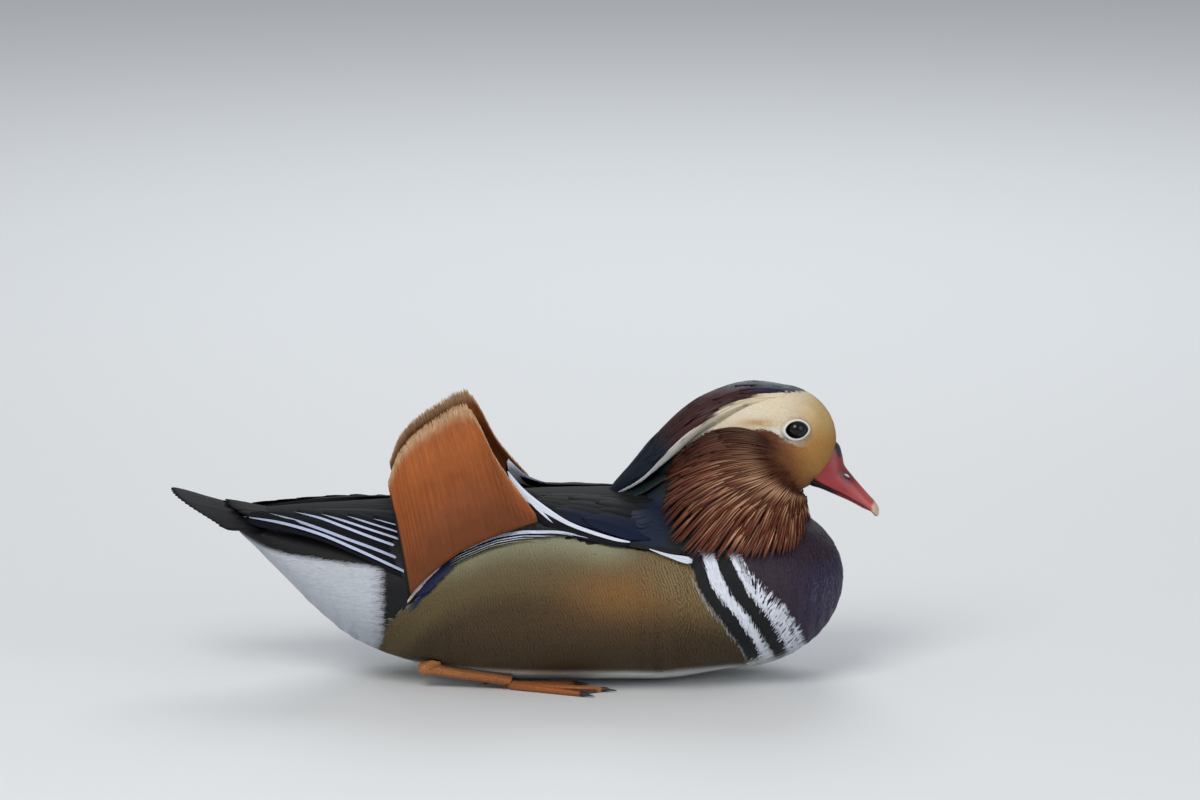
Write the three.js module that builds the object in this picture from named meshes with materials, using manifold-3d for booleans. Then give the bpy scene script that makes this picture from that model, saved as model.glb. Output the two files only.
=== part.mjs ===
// A mandarin drake at rest on its belly, life size, as a museum model shows it.
// Millimetres. +X points forwards to the bill, +Y to the bird's left and +Z up. The floor is z = 0, and
// x = 0 is midway between the tail tip and the bill tip.
import * as THREE from "three";
import { mergeVertices } from "three/addons/utils/BufferGeometryUtils.js";
import Module from "manifold-3d";

const wasm = await Module();
wasm.setup();

// Driving sizes
const gap = 0.3;
const eyeOpening = { x: 124.8, z: 117.5, length: 9.8, height: 8.2 };

const point = (x, y, z) => new THREE.Vector3(x, y, z);
const mix = THREE.MathUtils.lerp;
const radians = THREE.MathUtils.degToRad;

// Draws that come out the same each time
function seeded(seed) {
  let state = seed;
  return (low = 0, high = 1) => {
    state = (state * 1664525 + 1013904223) % 4294967296;
    return low + ((high - low) * state) / 4294967296;
  };
}

// A smooth curve through [position, value] pairs that stays between them
function curveThrough(pairs) {
  const last = pairs.length - 1;
  const run = pairs.slice(1).map((p, i) => p[0] - pairs[i][0]);
  const rise = pairs.slice(1).map((p, i) => (p[1] - pairs[i][1]) / run[i]);
  const slope = pairs.map((_, i) => {
    if (i === 0) return rise[0];
    if (i === last) return rise[last - 1];
    if (rise[i - 1] * rise[i] <= 0) return 0;
    const before = 2 * run[i] + run[i - 1];
    const after = run[i] + 2 * run[i - 1];
    return (before + after) / (before / rise[i - 1] + after / rise[i]);
  });
  return (at) => {
    if (at <= pairs[0][0]) return pairs[0][1];
    if (at >= pairs[last][0]) return pairs[last][1];
    const i = pairs.findIndex((p) => p[0] > at) - 1;
    const t = (at - pairs[i][0]) / run[i];
    const t2 = t * t;
    const t3 = t2 * t;
    return (
      (2 * t3 - 3 * t2 + 1) * pairs[i][1] +
      (t3 - 2 * t2 + t) * run[i] * slope[i] +
      (3 * t2 - 2 * t3) * pairs[i + 1][1] +
      (t3 - t2) * run[i] * slope[i + 1]
    );
  };
}

// Closed solids

function solidOfTriangles(vertices, faces) {
  const geometry = new THREE.BufferGeometry();
  const places = vertices.flatMap((v) => v.toArray());
  geometry.setAttribute("position", new THREE.Float32BufferAttribute(places, 3));
  geometry.setIndex(faces.flat());
  return solidOfGeometry(geometry);
}

function solidOfGeometry(geometry) {
  const bare = new THREE.BufferGeometry();
  bare.setAttribute("position", geometry.getAttribute("position"));
  bare.setIndex(geometry.getIndex());
  const merged = mergeVertices(bare, 1e-4);
  const build = (triVerts) =>
    new wasm.Manifold(
      new wasm.Mesh({
        numProp: 3,
        vertProperties: new Float32Array(merged.getAttribute("position").array),
        triVerts,
      }),
    );
  const faces = new Uint32Array(merged.getIndex().array);
  const solid = build(faces);
  if (solid.volume() > 0) return solid;
  for (let i = 0; i < faces.length; i += 3) [faces[i + 1], faces[i + 2]] = [faces[i + 2], faces[i + 1]];
  return build(faces);
}

// Rings of equal count, joined one to the next across the shorter diagonal; a ring of one point is a pole
function solidOfRings(rings) {
  const vertices = rings.flat();
  const faces = [];
  let base = 0;
  for (let r = 0; r + 1 < rings.length; r += 1) {
    const here = rings[r];
    const next = rings[r + 1];
    const nextBase = base + here.length;
    const count = Math.max(here.length, next.length);
    for (let i = 0; i < count; i += 1) {
      const j = (i + 1) % count;
      if (here.length === 1) faces.push([base, nextBase + i, nextBase + j]);
      else if (next.length === 1) faces.push([base + i, nextBase, base + j]);
      else {
        const [a, b, c, d] = [base + i, nextBase + i, nextBase + j, base + j];
        const turned = here[j].distanceTo(next[i]) < here[i].distanceTo(next[j]);
        if (turned) faces.push([a, b, d], [b, c, d]);
        else faces.push([a, b, c], [a, c, d]);
      }
    }
    base = nextBase;
  }
  const cap = (ring, start, turn) => {
    for (let i = 1; i + 1 < ring.length; i += 1) {
      faces.push(turn ? [start, start + i, start + i + 1] : [start, start + i + 1, start + i]);
    }
  };
  cap(rings[0], 0, true);
  cap(rings[rings.length - 1], base, false);
  return solidOfTriangles(vertices, faces);
}

// A plate between an outer and an inner face, both given over s and t from 0 to 1
function plate(outer, inner, sSteps, tSteps) {
  const vertices = [];
  const faces = [];
  const size = (sSteps + 1) * (tSteps + 1);
  for (const face of [outer, inner]) {
    for (let i = 0; i <= sSteps; i += 1) {
      for (let j = 0; j <= tSteps; j += 1) vertices.push(face(i / sSteps, j / tSteps));
    }
  }
  const at = (i, j) => i * (tSteps + 1) + j;
  for (let i = 0; i < sSteps; i += 1) {
    for (let j = 0; j < tSteps; j += 1) {
      const [a, b, c, d] = [at(i, j), at(i + 1, j), at(i + 1, j + 1), at(i, j + 1)];
      faces.push([a, b, c], [a, c, d], [size + a, size + c, size + b], [size + a, size + d, size + c]);
    }
  }
  const rim = [];
  for (let i = 0; i < sSteps; i += 1) rim.push(at(i, 0));
  for (let j = 0; j < tSteps; j += 1) rim.push(at(sSteps, j));
  for (let i = sSteps; i > 0; i -= 1) rim.push(at(i, tSteps));
  for (let j = tSteps; j > 0; j -= 1) rim.push(at(0, j));
  rim.forEach((here, i) => {
    const next = rim[(i + 1) % rim.length];
    faces.push([here, size + here, size + next], [here, size + next, next]);
  });
  return solidOfTriangles(vertices, faces);
}

// A feather's vane along a path: thickest at its shaft, with edges that thin out and sink, and a tip that
// closes to a point or stays blunt
const pointed = curveThrough([[0, 0.3], [0.4, 1], [0.75, 0.75], [1, 0]]);
const rounded = curveThrough([[0, 0.35], [0.5, 1], [0.85, 0.9], [1, 0.35]]);
function vane({ path, out, half, shape = pointed, ridge = 0.8, edge = 0.4, sink = 0.12, steps = 3 }) {
  const ring = (t) => {
    const centre = path(t);
    const ahead = path(Math.min(1, t + 0.03)).sub(path(Math.max(0, t - 0.03))).normalize();
    const over = out(t);
    over.addScaledVector(ahead, -over.dot(ahead)).normalize();
    const across = ahead.clone().cross(over);
    const width = half * shape(t);
    if (width < 0.05) return [centre];
    const thin = mix(1, 0.6, t);
    const place = (a, b) => centre.clone().addScaledVector(across, a * width).addScaledVector(over, b);
    const rim = -sink * width;
    return [place(1, rim), place(0, ridge * thin), place(-1, rim), place(0, -edge * thin)];
  };
  return solidOfRings(Array.from({ length: steps + 1 }, (_, i) => ring(1 - (1 - i / steps) ** 1.15)));
}

// The same solid with the ends of its shortest edges drawn together, which clears away the slivers of a cut
function trimmed(solid, shortest = 0.04) {
  const mesh = solid.getMesh();
  const corners = Array.from({ length: mesh.vertProperties.length / 3 }, (_, i) =>
    point(...mesh.vertProperties.subarray(3 * i, 3 * i + 3)),
  );
  const owner = corners.map((_, i) => i);
  const ownerOf = (i) => (owner[i] === i ? i : ownerOf(owner[i]));
  const triangles = Array.from({ length: mesh.triVerts.length / 3 }, (_, i) => [
    ...mesh.triVerts.subarray(3 * i, 3 * i + 3),
  ]);
  for (const [a, b, c] of triangles) {
    for (const [from, to] of [[a, b], [b, c], [c, a]]) {
      if (corners[from].distanceTo(corners[to]) < shortest) owner[ownerOf(from)] = ownerOf(to);
    }
  }
  const kept = new Map();
  for (const triangle of triangles.map((t) => t.map(ownerOf))) {
    if (new Set(triangle).size < 3) continue;
    const key = [...triangle].sort((a, b) => a - b).join();
    if (kept.has(key)) kept.delete(key);
    else kept.set(key, triangle);
  }
  try {
    return solidOfTriangles(corners, [...kept.values()]);
  } catch {
    return solid;
  }
}

// The other side's copy
function mirrorImage(solid) {
  const mesh = solid.getMesh();
  const geometry = new THREE.BufferGeometry();
  geometry.setAttribute("position", new THREE.BufferAttribute(mesh.vertProperties.slice(), 3));
  geometry.setIndex(new THREE.BufferAttribute(mesh.triVerts.slice(), 1));
  return solidOfGeometry(geometry.scale(1, -1, 1));
}

const joined = (solids) => solids.reduce((sum, solid) => sum.add(solid));
const carved = (solid, tools) => tools.reduce((left, tool) => left.subtract(tool), solid);
const biggest = (solid) => solid.decompose().sort((a, b) => b.volume() - a.volume())[0];
const largest = (solid) => biggest(trimmed(biggest(solid)));

const block = (length, width, height, x, y, z) =>
  solidOfGeometry(new THREE.BoxGeometry(length, width, height).translate(x, y, z));
const floorBlock = block(400, 200, 40, 0, 0, -20);
const otherSide = (side) => block(400, 100, 300, 0, side * (gap / 2 - 50), 100);

// Body forms

// A form drawn by its top and bottom lines, half width and the height where it is widest, all along x
function keelForm({ top, bottom, half, widest, front, rear, upper, lower }) {
  const lines = {
    top: curveThrough(top),
    bottom: curveThrough(bottom),
    half: curveThrough(half),
    widest: curveThrough(widest),
  };
  const fullness = (x, grow) => {
    let past = 0;
    if (x > front.start) past = (x - front.start) / (front.end + grow - front.start);
    if (x < rear.start) past = (rear.start - x) / (rear.start - rear.end + grow);
    return Math.sqrt(Math.max(0, 1 - past * past));
  };
  const section = (x, grow = 0) => {
    const share = fullness(x, grow);
    const middle = lines.widest(x);
    return {
      middle,
      up: (lines.top(x) - middle + grow) * share,
      down: (middle - lines.bottom(x) + grow) * share,
      half: (lines.half(x) + grow) * share,
    };
  };
  const sideAt = (x, z, grow = 0) => {
    const s = section(x, grow);
    const reach = z > s.middle ? s.up : s.down;
    const power = z > s.middle ? upper : lower;
    const share = Math.abs(z - s.middle) / Math.max(reach, 1e-6);
    return share >= 1 ? 0 : s.half * (1 - share ** power) ** (1 / power);
  };
  const topAt = (x, y, grow = 0) => {
    const s = section(x, grow);
    const share = Math.min(1, Math.abs(y) / Math.max(s.half, 1e-6));
    return s.middle + s.up * (1 - share ** upper) ** (1 / upper);
  };
  const ring = (x, grow, around) => {
    const s = section(x, grow);
    if (s.half < 1e-6) return [point(x, 0, s.middle)];
    return Array.from({ length: around }, (_, i) => {
      const angle = (2 * Math.PI * i) / around;
      const across = Math.cos(angle);
      const rise = Math.sin(angle);
      const power = 2 / (rise > 0 ? upper : lower);
      const y = s.half * Math.sign(across) * Math.abs(across) ** power;
      const z = s.middle + (rise > 0 ? s.up : s.down) * Math.sign(rise) * Math.abs(rise) ** power;
      return point(x, y, z);
    });
  };
  const solid = (grow, { endSteps, midSteps, around }) => {
    const rearEnd = rear.end - grow;
    const frontEnd = front.end + grow;
    const places = [];
    for (let i = 0; i < endSteps; i += 1) {
      places.push(rear.start + (rearEnd - rear.start) * Math.cos((Math.PI / 2) * (i / endSteps)));
    }
    for (let i = 0; i <= midSteps; i += 1) places.push(mix(rear.start, front.start, i / midSteps));
    for (let i = endSteps - 1; i >= 0; i -= 1) {
      places.push(front.start + (frontEnd - front.start) * Math.cos((Math.PI / 2) * (i / endSteps)));
    }
    return solidOfRings(places.map((x) => ring(x, grow, around)));
  };
  return { section, sideAt, topAt, solid };
}

// A form that stands up, drawn by its front and rear lines and half width, all along z
function columnForm({ front, rear, half, low, high }) {
  const lines = { front: curveThrough(front), rear: curveThrough(rear), half: curveThrough(half) };
  const section = (z, grow = 0) => {
    const ahead = lines.front(z) + grow;
    const behind = lines.rear(z) - grow;
    return { centre: (ahead + behind) / 2, length: (ahead - behind) / 2, half: lines.half(z) + grow };
  };
  const sideAt = (x, z, grow = 0) => {
    const s = section(z, grow);
    const share = (x - s.centre) / s.length;
    return Math.abs(share) >= 1 ? 0 : s.half * Math.sqrt(1 - share * share);
  };
  const solid = (grow, { steps, around }) =>
    solidOfRings(
      Array.from({ length: steps + 1 }, (_, r) => {
        const z = mix(low, high, r / steps);
        const s = section(z, grow);
        return Array.from({ length: around }, (__, i) => {
          const angle = (2 * Math.PI * i) / around;
          return point(s.centre + s.length * Math.cos(angle), s.half * Math.sin(angle), z);
        });
      }),
    );
  return { section, sideAt, solid };
}

const torsoForm = keelForm({
  top: [
    [-136, 75], [-122, 74.5], [-110, 75.5], [-85, 78], [-55, 79], [-25, 81.5], [15, 85.2], [60, 85.6], [95, 84],
  ],
  bottom: [
    [-136, 66], [-124, 58], [-118, 52], [-110, 44], [-95, 29], [-78, 16], [-55, 7], [-30, 1.5], [0, -1.4],
    [60, -1.4], [95, 3],
  ],
  half: [[-136, 12], [-124, 17], [-110, 24], [-90, 34], [-60, 46], [-25, 55], [15, 58.5], [55, 58], [95, 50]],
  widest: [[-136, 70], [-118, 66], [-100, 56], [-60, 43], [-20, 37], [60, 36], [95, 42], [147.5, 46]],
  front: { start: 95, end: 147.5 },
  rear: { start: -120, end: -135 },
  upper: 2.4,
  lower: 2.1,
});
const headForm = keelForm({
  top: [[54, 99], [64, 107], [76, 118], [90, 128], [105, 134.5], [117, 136.5]],
  bottom: [[54, 90], [64, 88], [76, 86], [95, 84], [117, 83.5]],
  half: [[54, 8], [64, 12], [76, 16], [90, 18.3], [105, 19.3], [117, 18.8]],
  widest: [[54, 95], [76, 101], [95, 105], [117, 108], [144.5, 110]],
  front: { start: 117, end: 144.3 },
  rear: { start: 80, end: 56 },
  upper: 2.1,
  lower: 2,
});
const neckForm = columnForm({
  front: [[50, 126], [66, 132], [73, 132.5], [79, 130], [84, 125.6], [90, 124], [104, 122]],
  rear: [[50, 20], [72, 33], [79, 43], [85, 50], [92, 58], [98, 65], [104, 72]],
  half: [[50, 42], [66, 37], [73, 33], [80, 28.5], [88, 23.5], [96, 19.5], [104, 17]],
  low: 50,
  high: 104,
});

const torsoDetail = { endSteps: 4, midSteps: 13, around: 22 };
const headDetail = { endSteps: 5, midSteps: 4, around: 20 };
const neckDetail = { steps: 8, around: 22 };

// Half width of the whole body at a side view's place, eased where the forms meet
function sideOfBody(x, z) {
  const sides = [torsoForm, headForm, neckForm].map((form) => form.sideAt(x, z));
  const ease = 8;
  return sides.reduce((sum, side) => sum + side ** ease, 0) ** (1 / ease);
}

// The point on the body's side, lifted off it, with the way out of the surface
function onSide(x, z, side, lift) {
  const step = 0.5;
  const y = sideOfBody(x, z);
  const alongX = (sideOfBody(x + step, z) - sideOfBody(x - step, z)) / (2 * step);
  const alongZ = (sideOfBody(x, z + step) - sideOfBody(x, z - step)) / (2 * step);
  const steepest = 2.5;
  const out = point(
    THREE.MathUtils.clamp(-alongX, -steepest, steepest),
    1,
    THREE.MathUtils.clamp(-alongZ, -steepest, steepest),
  ).normalize();
  const at = point(x, y, z).addScaledVector(out, lift);
  return { at: point(at.x, side * at.y, at.z), out: point(out.x, side * out.y, out.z) };
}

const torsoGrown = torsoForm.solid(gap, torsoDetail);
const headGrown = headForm.solid(gap, headDetail);
const neckGrown = neckForm.solid(gap, neckDetail);

// Legs and feet, tucked under the belly and lying on the floor

const footPlan = {
  hock: point(-46, 33, 9),
  joint: point(-6, 37, 4),
  shank: 2.7,
  toes: [
    { tip: point(25, 30, 1.4), root: 2.2, end: 1.1 },
    { tip: point(38, 43, 1.4), root: 2.4, end: 1.1 },
    { tip: point(28, 54, 1.4), root: 2.2, end: 1.1 },
  ],
  hindToe: { from: point(-10, 34, 4), tip: point(-19, 30, 1.6), root: 1.5, end: 0.8 },
  toeHeight: 1.9,
  webTop: 1.5,
  claw: 4.5,
};

// A round limb that tapers from one point to another
function limb(from, to, fromRadius, toRadius, around = 8, steps = 2) {
  const along = to.clone().sub(from).normalize();
  const across = point(0, 0, 1).cross(along).normalize();
  const over = along.clone().cross(across);
  return solidOfRings(
    Array.from({ length: steps + 1 }, (_, r) => {
      const centre = from.clone().lerp(to, r / steps);
      const radius = mix(fromRadius, toRadius, r / steps);
      return Array.from({ length: around }, (__, i) => {
        const angle = (2 * Math.PI * (i + 0.5)) / around;
        return centre
          .clone()
          .addScaledVector(across, radius * Math.cos(angle))
          .addScaledVector(over, radius * Math.sin(angle));
      });
    }),
  );
}

const mirrored = (place, side) => point(place.x, side * place.y, place.z);

function footSolid(grow = 0) {
  const plan = footPlan;
  const start = plan.joint.clone().setZ(plan.toeHeight);
  const pieces = [];
  for (const toe of plan.toes) {
    const along = toe.tip.clone().sub(start).normalize();
    const clawTip = toe.tip.clone().addScaledVector(along, plan.claw).setZ(0.9);
    const clawRoot = toe.tip.clone().addScaledVector(along, -1);
    pieces.push(limb(start, toe.tip, toe.root + grow, toe.end + grow, 6, 1));
    pieces.push(limb(clawRoot, clawTip, toe.end * 0.8 + grow, 0.4 + grow, 5, 1));
  }
  const hind = plan.hindToe;
  pieces.push(limb(hind.from, hind.tip, hind.root + grow, hind.end + grow, 5, 1));
  pieces.push(limb(start, hind.from.clone().setZ(plan.toeHeight), 2.2 + grow, hind.root + grow, 5, 1));
  const web = (first, second) => {
    const slack = 0.93;
    const edge = (s) => {
      const straight = first.tip.clone().lerp(second.tip, s);
      return start.clone().lerp(straight, 1 - (1 - slack) * Math.sin(Math.PI * s));
    };
    const face = (height) => (s, t) => start.clone().lerp(edge(s), mix(0.05, 0.97, t)).setZ(height);
    return plate(face(plan.webTop + grow), face(-1), 4, 2);
  };
  pieces.push(web(plan.toes[0], plan.toes[1]), web(plan.toes[1], plan.toes[2]));
  return largest(carved(joined(pieces), [floorBlock, torsoGrown]));
}

function legSolid() {
  const { hock, joint, shank } = footPlan;
  const thigh = hock.clone().add(point(16, 3, 12));
  const pieces = [
    limb(hock, joint, shank, shank * 0.9, 7, 1),
    limb(hock, thigh, shank, shank * 1.7, 7, 1),
    solidOfGeometry(new THREE.IcosahedronGeometry(shank * 1.25, 1).translate(...hock)),
  ];
  return largest(carved(joined(pieces), [floorBlock, torsoGrown, footSolid(gap)]));
}

const torsoSolid = largest(torsoForm.solid(0, torsoDetail).subtract(floorBlock));

// Head, with the sockets and lids

const eyeBall = { radius: 6.2, sunk: 3.9 };
const eyeCentre = (side) =>
  point(eyeOpening.x, side * (headForm.sideAt(eyeOpening.x, eyeOpening.z) - eyeBall.sunk), eyeOpening.z);
const eyeSolid = (side, grow) =>
  solidOfGeometry(
    new THREE.SphereGeometry(eyeBall.radius + grow, 12, 8).rotateX(Math.PI / 2).translate(...eyeCentre(side)),
  );

function lidSolid(side) {
  const around = 12;
  const tube = { proud: 0.9, wide: 1.0 };
  const rings = Array.from({ length: around }, (_, i) => {
    const angle = (2 * Math.PI * i) / around;
    const place = (share, lift) => {
      const x = eyeOpening.x + (eyeOpening.length / 2) * share * Math.cos(angle);
      const z = eyeOpening.z + (eyeOpening.height / 2) * share * Math.sin(angle);
      return onSide(x, z, side, lift).at;
    };
    return [place(0.92, 0.2), place(1.08, tube.proud), place(1.08 + 0.3 * tube.wide, 0.1), place(1.1, -1.6)];
  });
  const vertices = rings.flat();
  const faces = [];
  for (let r = 0; r < around; r += 1) {
    const here = 4 * r;
    const next = 4 * ((r + 1) % around);
    for (let i = 0; i < 4; i += 1) {
      const j = (i + 1) % 4;
      faces.push([here + i, next + i, next + j], [here + i, next + j, here + j]);
    }
  }
  return solidOfTriangles(vertices, faces);
}

const headSolid = largest(
  carved(joined([headForm.solid(0, headDetail), lidSolid(1), lidSolid(-1)]), [
    eyeSolid(1, gap),
    eyeSolid(-1, gap),
  ]),
);
const neckSolid = largest(carved(neckForm.solid(0, neckDetail), [headGrown, torsoGrown]));

// Bill: rings square to an axis that slopes down from the face

const bill = {
  base: point(138, 0, 97.5),
  tip: point(162, 0, 76.5),
  top: curveThrough([
    [-8, 12], [-2, 11.7], [3, 8.9], [7, 6], [12.7, 4.8], [19, 3.8], [24, 3.1], [29, 2.5], [32.5, 1.0],
    [33.8, -0.6],
  ]),
  seam: curveThrough([
    [-8, -8.2], [0, -7.6], [11.6, -4.7], [19, -3], [28, -1.6], [30.5, -1.7], [33, -2.2], [33.8, -1.6],
  ]),
  bottom: curveThrough([
    [-8, -12.5], [1, -11.2], [5, -9.4], [11.6, -7.3], [19, -5], [28, -2.9], [30.5, -2.2],
  ]),
  half: curveThrough([[-8, 8], [3, 7.4], [12, 6.2], [20, 5.6], [27, 5.4], [31, 4.3], [33.8, 1.2]]),
  lowerEnd: 29.5,
};
const billAlong = bill.tip.clone().sub(bill.base).normalize();
const billOver = point(-billAlong.z, 0, billAlong.x);
const billPoint = (s, y, offset) =>
  bill.base.clone().addScaledVector(billAlong, s).addScaledVector(billOver, offset).setY(y);

function upperBill() {
  const steps = 14;
  const around = 14;
  const last = 33.8;
  const rings = Array.from({ length: steps + 1 }, (_, r) => {
    const s = mix(-8, last, r / steps);
    const low = bill.seam(s);
    const high = bill.top(s);
    return Array.from({ length: around }, (__, i) => {
      const angle = (Math.PI * i) / (around - 1);
      const rise = (high - low) * Math.max(0, Math.sin(angle)) ** 0.9;
      return billPoint(s, bill.half(s) * Math.cos(angle), low + rise);
    });
  });
  const nostril = { along: 10.1, over: 3.2, length: 3.1, height: 1.1 };
  const slot = solidOfRings(
    [-20, 20].map((y) =>
      Array.from({ length: 10 }, (_, i) => {
        const angle = (2 * Math.PI * i) / 10;
        const along = nostril.along + nostril.length * Math.cos(angle);
        return billPoint(along, y, nostril.over + nostril.height * Math.sin(angle));
      }),
    ),
  );
  return largest(carved(solidOfRings(rings), [headGrown, slot]));
}

function lowerBill() {
  const steps = 7;
  const around = 10;
  const inset = 0.8;
  const rings = Array.from({ length: steps + 1 }, (_, r) => {
    const s = mix(-8, bill.lowerEnd, r / steps);
    const high = bill.seam(s) - gap;
    const low = Math.min(bill.bottom(s), high - 0.8);
    return Array.from({ length: around }, (__, i) => {
      const angle = (Math.PI * i) / (around - 1);
      return billPoint(s, (bill.half(s) - inset) * Math.cos(angle), high - (high - low) * Math.sin(angle));
    });
  });
  return largest(carved(solidOfRings(rings), [headGrown, neckGrown]));
}

const billUpperSolid = upperBill();
const billLowerSolid = lowerBill();

// Crest: it lies along a line from the forehead over the crown and down the nape

const crestLine = {
  x: curveThrough([[0, 128], [0.2, 106], [0.4, 84], [0.6, 66], [0.8, 51], [1, 35.5]]),
  z: curveThrough([[0, 131], [0.2, 130.5], [0.4, 122.5], [0.6, 107.5], [0.8, 92.5], [1, 81.6]]),
  thick: curveThrough([[0, 1.2], [0.2, 6.6], [0.4, 8], [0.6, 7.6], [0.8, 5.8], [1, 0.8]]),
  wide: curveThrough([[0, 6], [0.2, 14.5], [0.4, 16.5], [0.6, 13.5], [0.8, 9.5], [1, 1.5]]),
};
const crestCore = { end: 0.6, scale: 0.8, steps: 6, around: 10 };
const crestTiers = [
  { from: 0.02, to: 0.36, turns: [-40, 40], half: 7.5 },
  { from: 0.17, to: 0.55, turns: [-84, -28, 28, 84], half: 7.4 },
  { from: 0.33, to: 0.76, turns: [-98, -50, 0, 50, 98], half: 6.6 },
  { from: 0.44, to: 0.9, turns: [-125, -74, -25, 25, 74, 125], half: 5.6 },
  { from: 0.54, to: 1, turns: [-16, 16, 180], half: 5.2 },
];
function onCrest(q, turn, scale = 1) {
  const step = 0.01;
  const slope = Math.atan2(
    crestLine.z(Math.min(1, q + step)) - crestLine.z(Math.max(0, q - step)),
    crestLine.x(Math.min(1, q + step)) - crestLine.x(Math.max(0, q - step)),
  );
  const over = point(Math.sin(slope), 0, -Math.cos(slope));
  const at = point(crestLine.x(q), crestLine.wide(q) * scale * Math.sin(turn), crestLine.z(q));
  return at.addScaledVector(over, crestLine.thick(q) * scale * Math.cos(turn));
}
const crestTube = (end, scale, steps, around) =>
  solidOfRings(
    Array.from({ length: steps + 1 }, (_, r) =>
      Array.from({ length: around }, (__, i) =>
        onCrest((end * r) / steps, (2 * Math.PI * i) / around, scale),
      ),
    ),
  );
function crestSolid() {
  const vanes = crestTiers.flatMap(({ from, to, turns, half }) =>
    turns.map((degrees) => {
      const turn = radians(degrees);
      const at = (t) => mix(from, to, t);
      return vane({
        path: (t) => onCrest(at(t), turn, mix(0.66, 0.9, Math.min(1, 2.2 * t))),
        out: (t) => onCrest(at(t), turn, 1.2).sub(onCrest(at(t), turn, 0.8)).normalize(),
        half,
        sink: 0.2,
      });
    }),
  );
  const core = crestTube(crestCore.end, crestCore.scale, crestCore.steps, crestCore.around);
  return largest(carved(joined([core, ...vanes]), [headGrown, neckGrown, torsoGrown]));
}

const crestGrown = crestTube(1, 1.2, 12, 12);

// Ruff: hackles that fan out from the cheek over the side of the neck

const ruff = {
  from: (s) => ({ x: mix(111, 126.5, s), z: mix(104, 86.5, s) }),
  to: {
    x: curveThrough([
      [0, 65], [0.15, 62.5], [0.3, 66], [0.45, 78], [0.6, 92], [0.75, 108], [0.88, 122], [1, 130.5],
    ]),
    z: curveThrough([
      [0, 93], [0.15, 82], [0.3, 71], [0.45, 63.5], [0.6, 62], [0.75, 62], [0.88, 64], [1, 73],
    ]),
  },
};
function ruffPlace(s, t) {
  const start = ruff.from(s);
  const bow = 5 * Math.sin(Math.PI * t) * (1 - s);
  return { x: mix(start.x, ruff.to.x(s), t), z: mix(start.z, ruff.to.z(s), t) + bow };
}
const ruffTiers = [
  { count: 10, from: 0.34, to: 1, start: 0.03, end: 0.97, half: 4.8, lift: 1.7 },
  { count: 7, from: 0.16, to: 0.76, start: 0.1, end: 0.9, half: 4, lift: 2.9 },
];
const hackle = curveThrough([[0, 0.3], [0.4, 0.8], [0.75, 1], [1, 0]]);
function ruffSolid(side) {
  const face = (lift) => (s, t) => {
    const place = ruffPlace(s, 0.5 * t);
    return onSide(place.x, place.z, side, lift(t)).at;
  };
  const core = plate(face((t) => 1.2 + 0.8 * t), face(() => -1.5), 8, 3);
  const draw = seeded(7);
  const vanes = ruffTiers.flatMap((tier) =>
    Array.from({ length: tier.count }, (_, i) => {
      const s = mix(tier.start, tier.end, i / (tier.count - 1));
      const reach = tier.to * draw(0.94, 1);
      const curl = draw(-0.4, 0.6);
      const at = (t) => {
        const place = ruffPlace(s, mix(tier.from, reach, t));
        const lift = 0.3 + tier.lift * Math.sin(Math.PI * Math.min(1, 0.1 + 0.75 * t)) + curl * t;
        return onSide(place.x, place.z, side, lift);
      };
      return vane({
        path: (t) => at(t).at,
        out: (t) => at(t).out,
        half: tier.half,
        shape: hackle,
        ridge: 0.9,
      });
    }),
  );
  return largest(carved(joined([core, ...vanes]), [headGrown, neckGrown, torsoGrown, otherSide(side)]));
}

// Tail: a closed fan that rises to the rear

const tail = {
  root: point(-100, 0, 72),
  spread: 33,
  feathers: 12,
  reach: (s) => mix(47, 63.3, Math.sin(Math.PI * s) ** 1.4),
};
function onTail(s, far, lift) {
  const turn = radians(mix(-tail.spread, tail.spread, s));
  const droop = 6 * (2 * s - 1) ** 2 * (far / 50);
  const rise = 0.08 * far + 0.0019 * far * far;
  const { root } = tail;
  return point(root.x - far * Math.cos(turn), far * Math.sin(turn), root.z + lift + rise - droop);
}
function tailSolid(grow = 0) {
  const face = (lift) => (s, t) => onTail(s, mix(4, 0.55 * tail.reach(s), t), lift);
  const pieces = [plate(face(0.9 + grow), face(-1.6 - grow), 8, 3)];
  const feather = (s, from, to, half, lift) =>
    vane({
      path: (t) => onTail(s, mix(from, to, t), lift),
      out: () => point(0.1, 0.12 * (2 * s - 1), 1).normalize(),
      half: half + grow,
      shape: rounded,
      ridge: 0.7 + grow,
      edge: 0.4 + grow,
      sink: 0.1,
    });
  for (let i = 0; i < tail.feathers; i += 1) {
    const s = (i + 0.5) / tail.feathers;
    const middle = 1 - Math.abs(2 * s - 1);
    pieces.push(feather(s, 24, tail.reach(s), 4, 0.9 * middle - 0.3));
  }
  const coverts = 4;
  for (let i = 0; i < coverts; i += 1) {
    const s = mix(0.16, 0.84, i / (coverts - 1));
    const middle = 1 - Math.abs(2 * s - 1);
    pieces.push(feather(s, 12, mix(30, 39, middle), 5, 1.1 + middle));
  }
  return largest(carved(joined(pieces), [torsoGrown]));
}
const tailGrown = tailSolid(gap);

// Scapulars: long feathers from the shoulder that end in an upturned blade beside the sail

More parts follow.
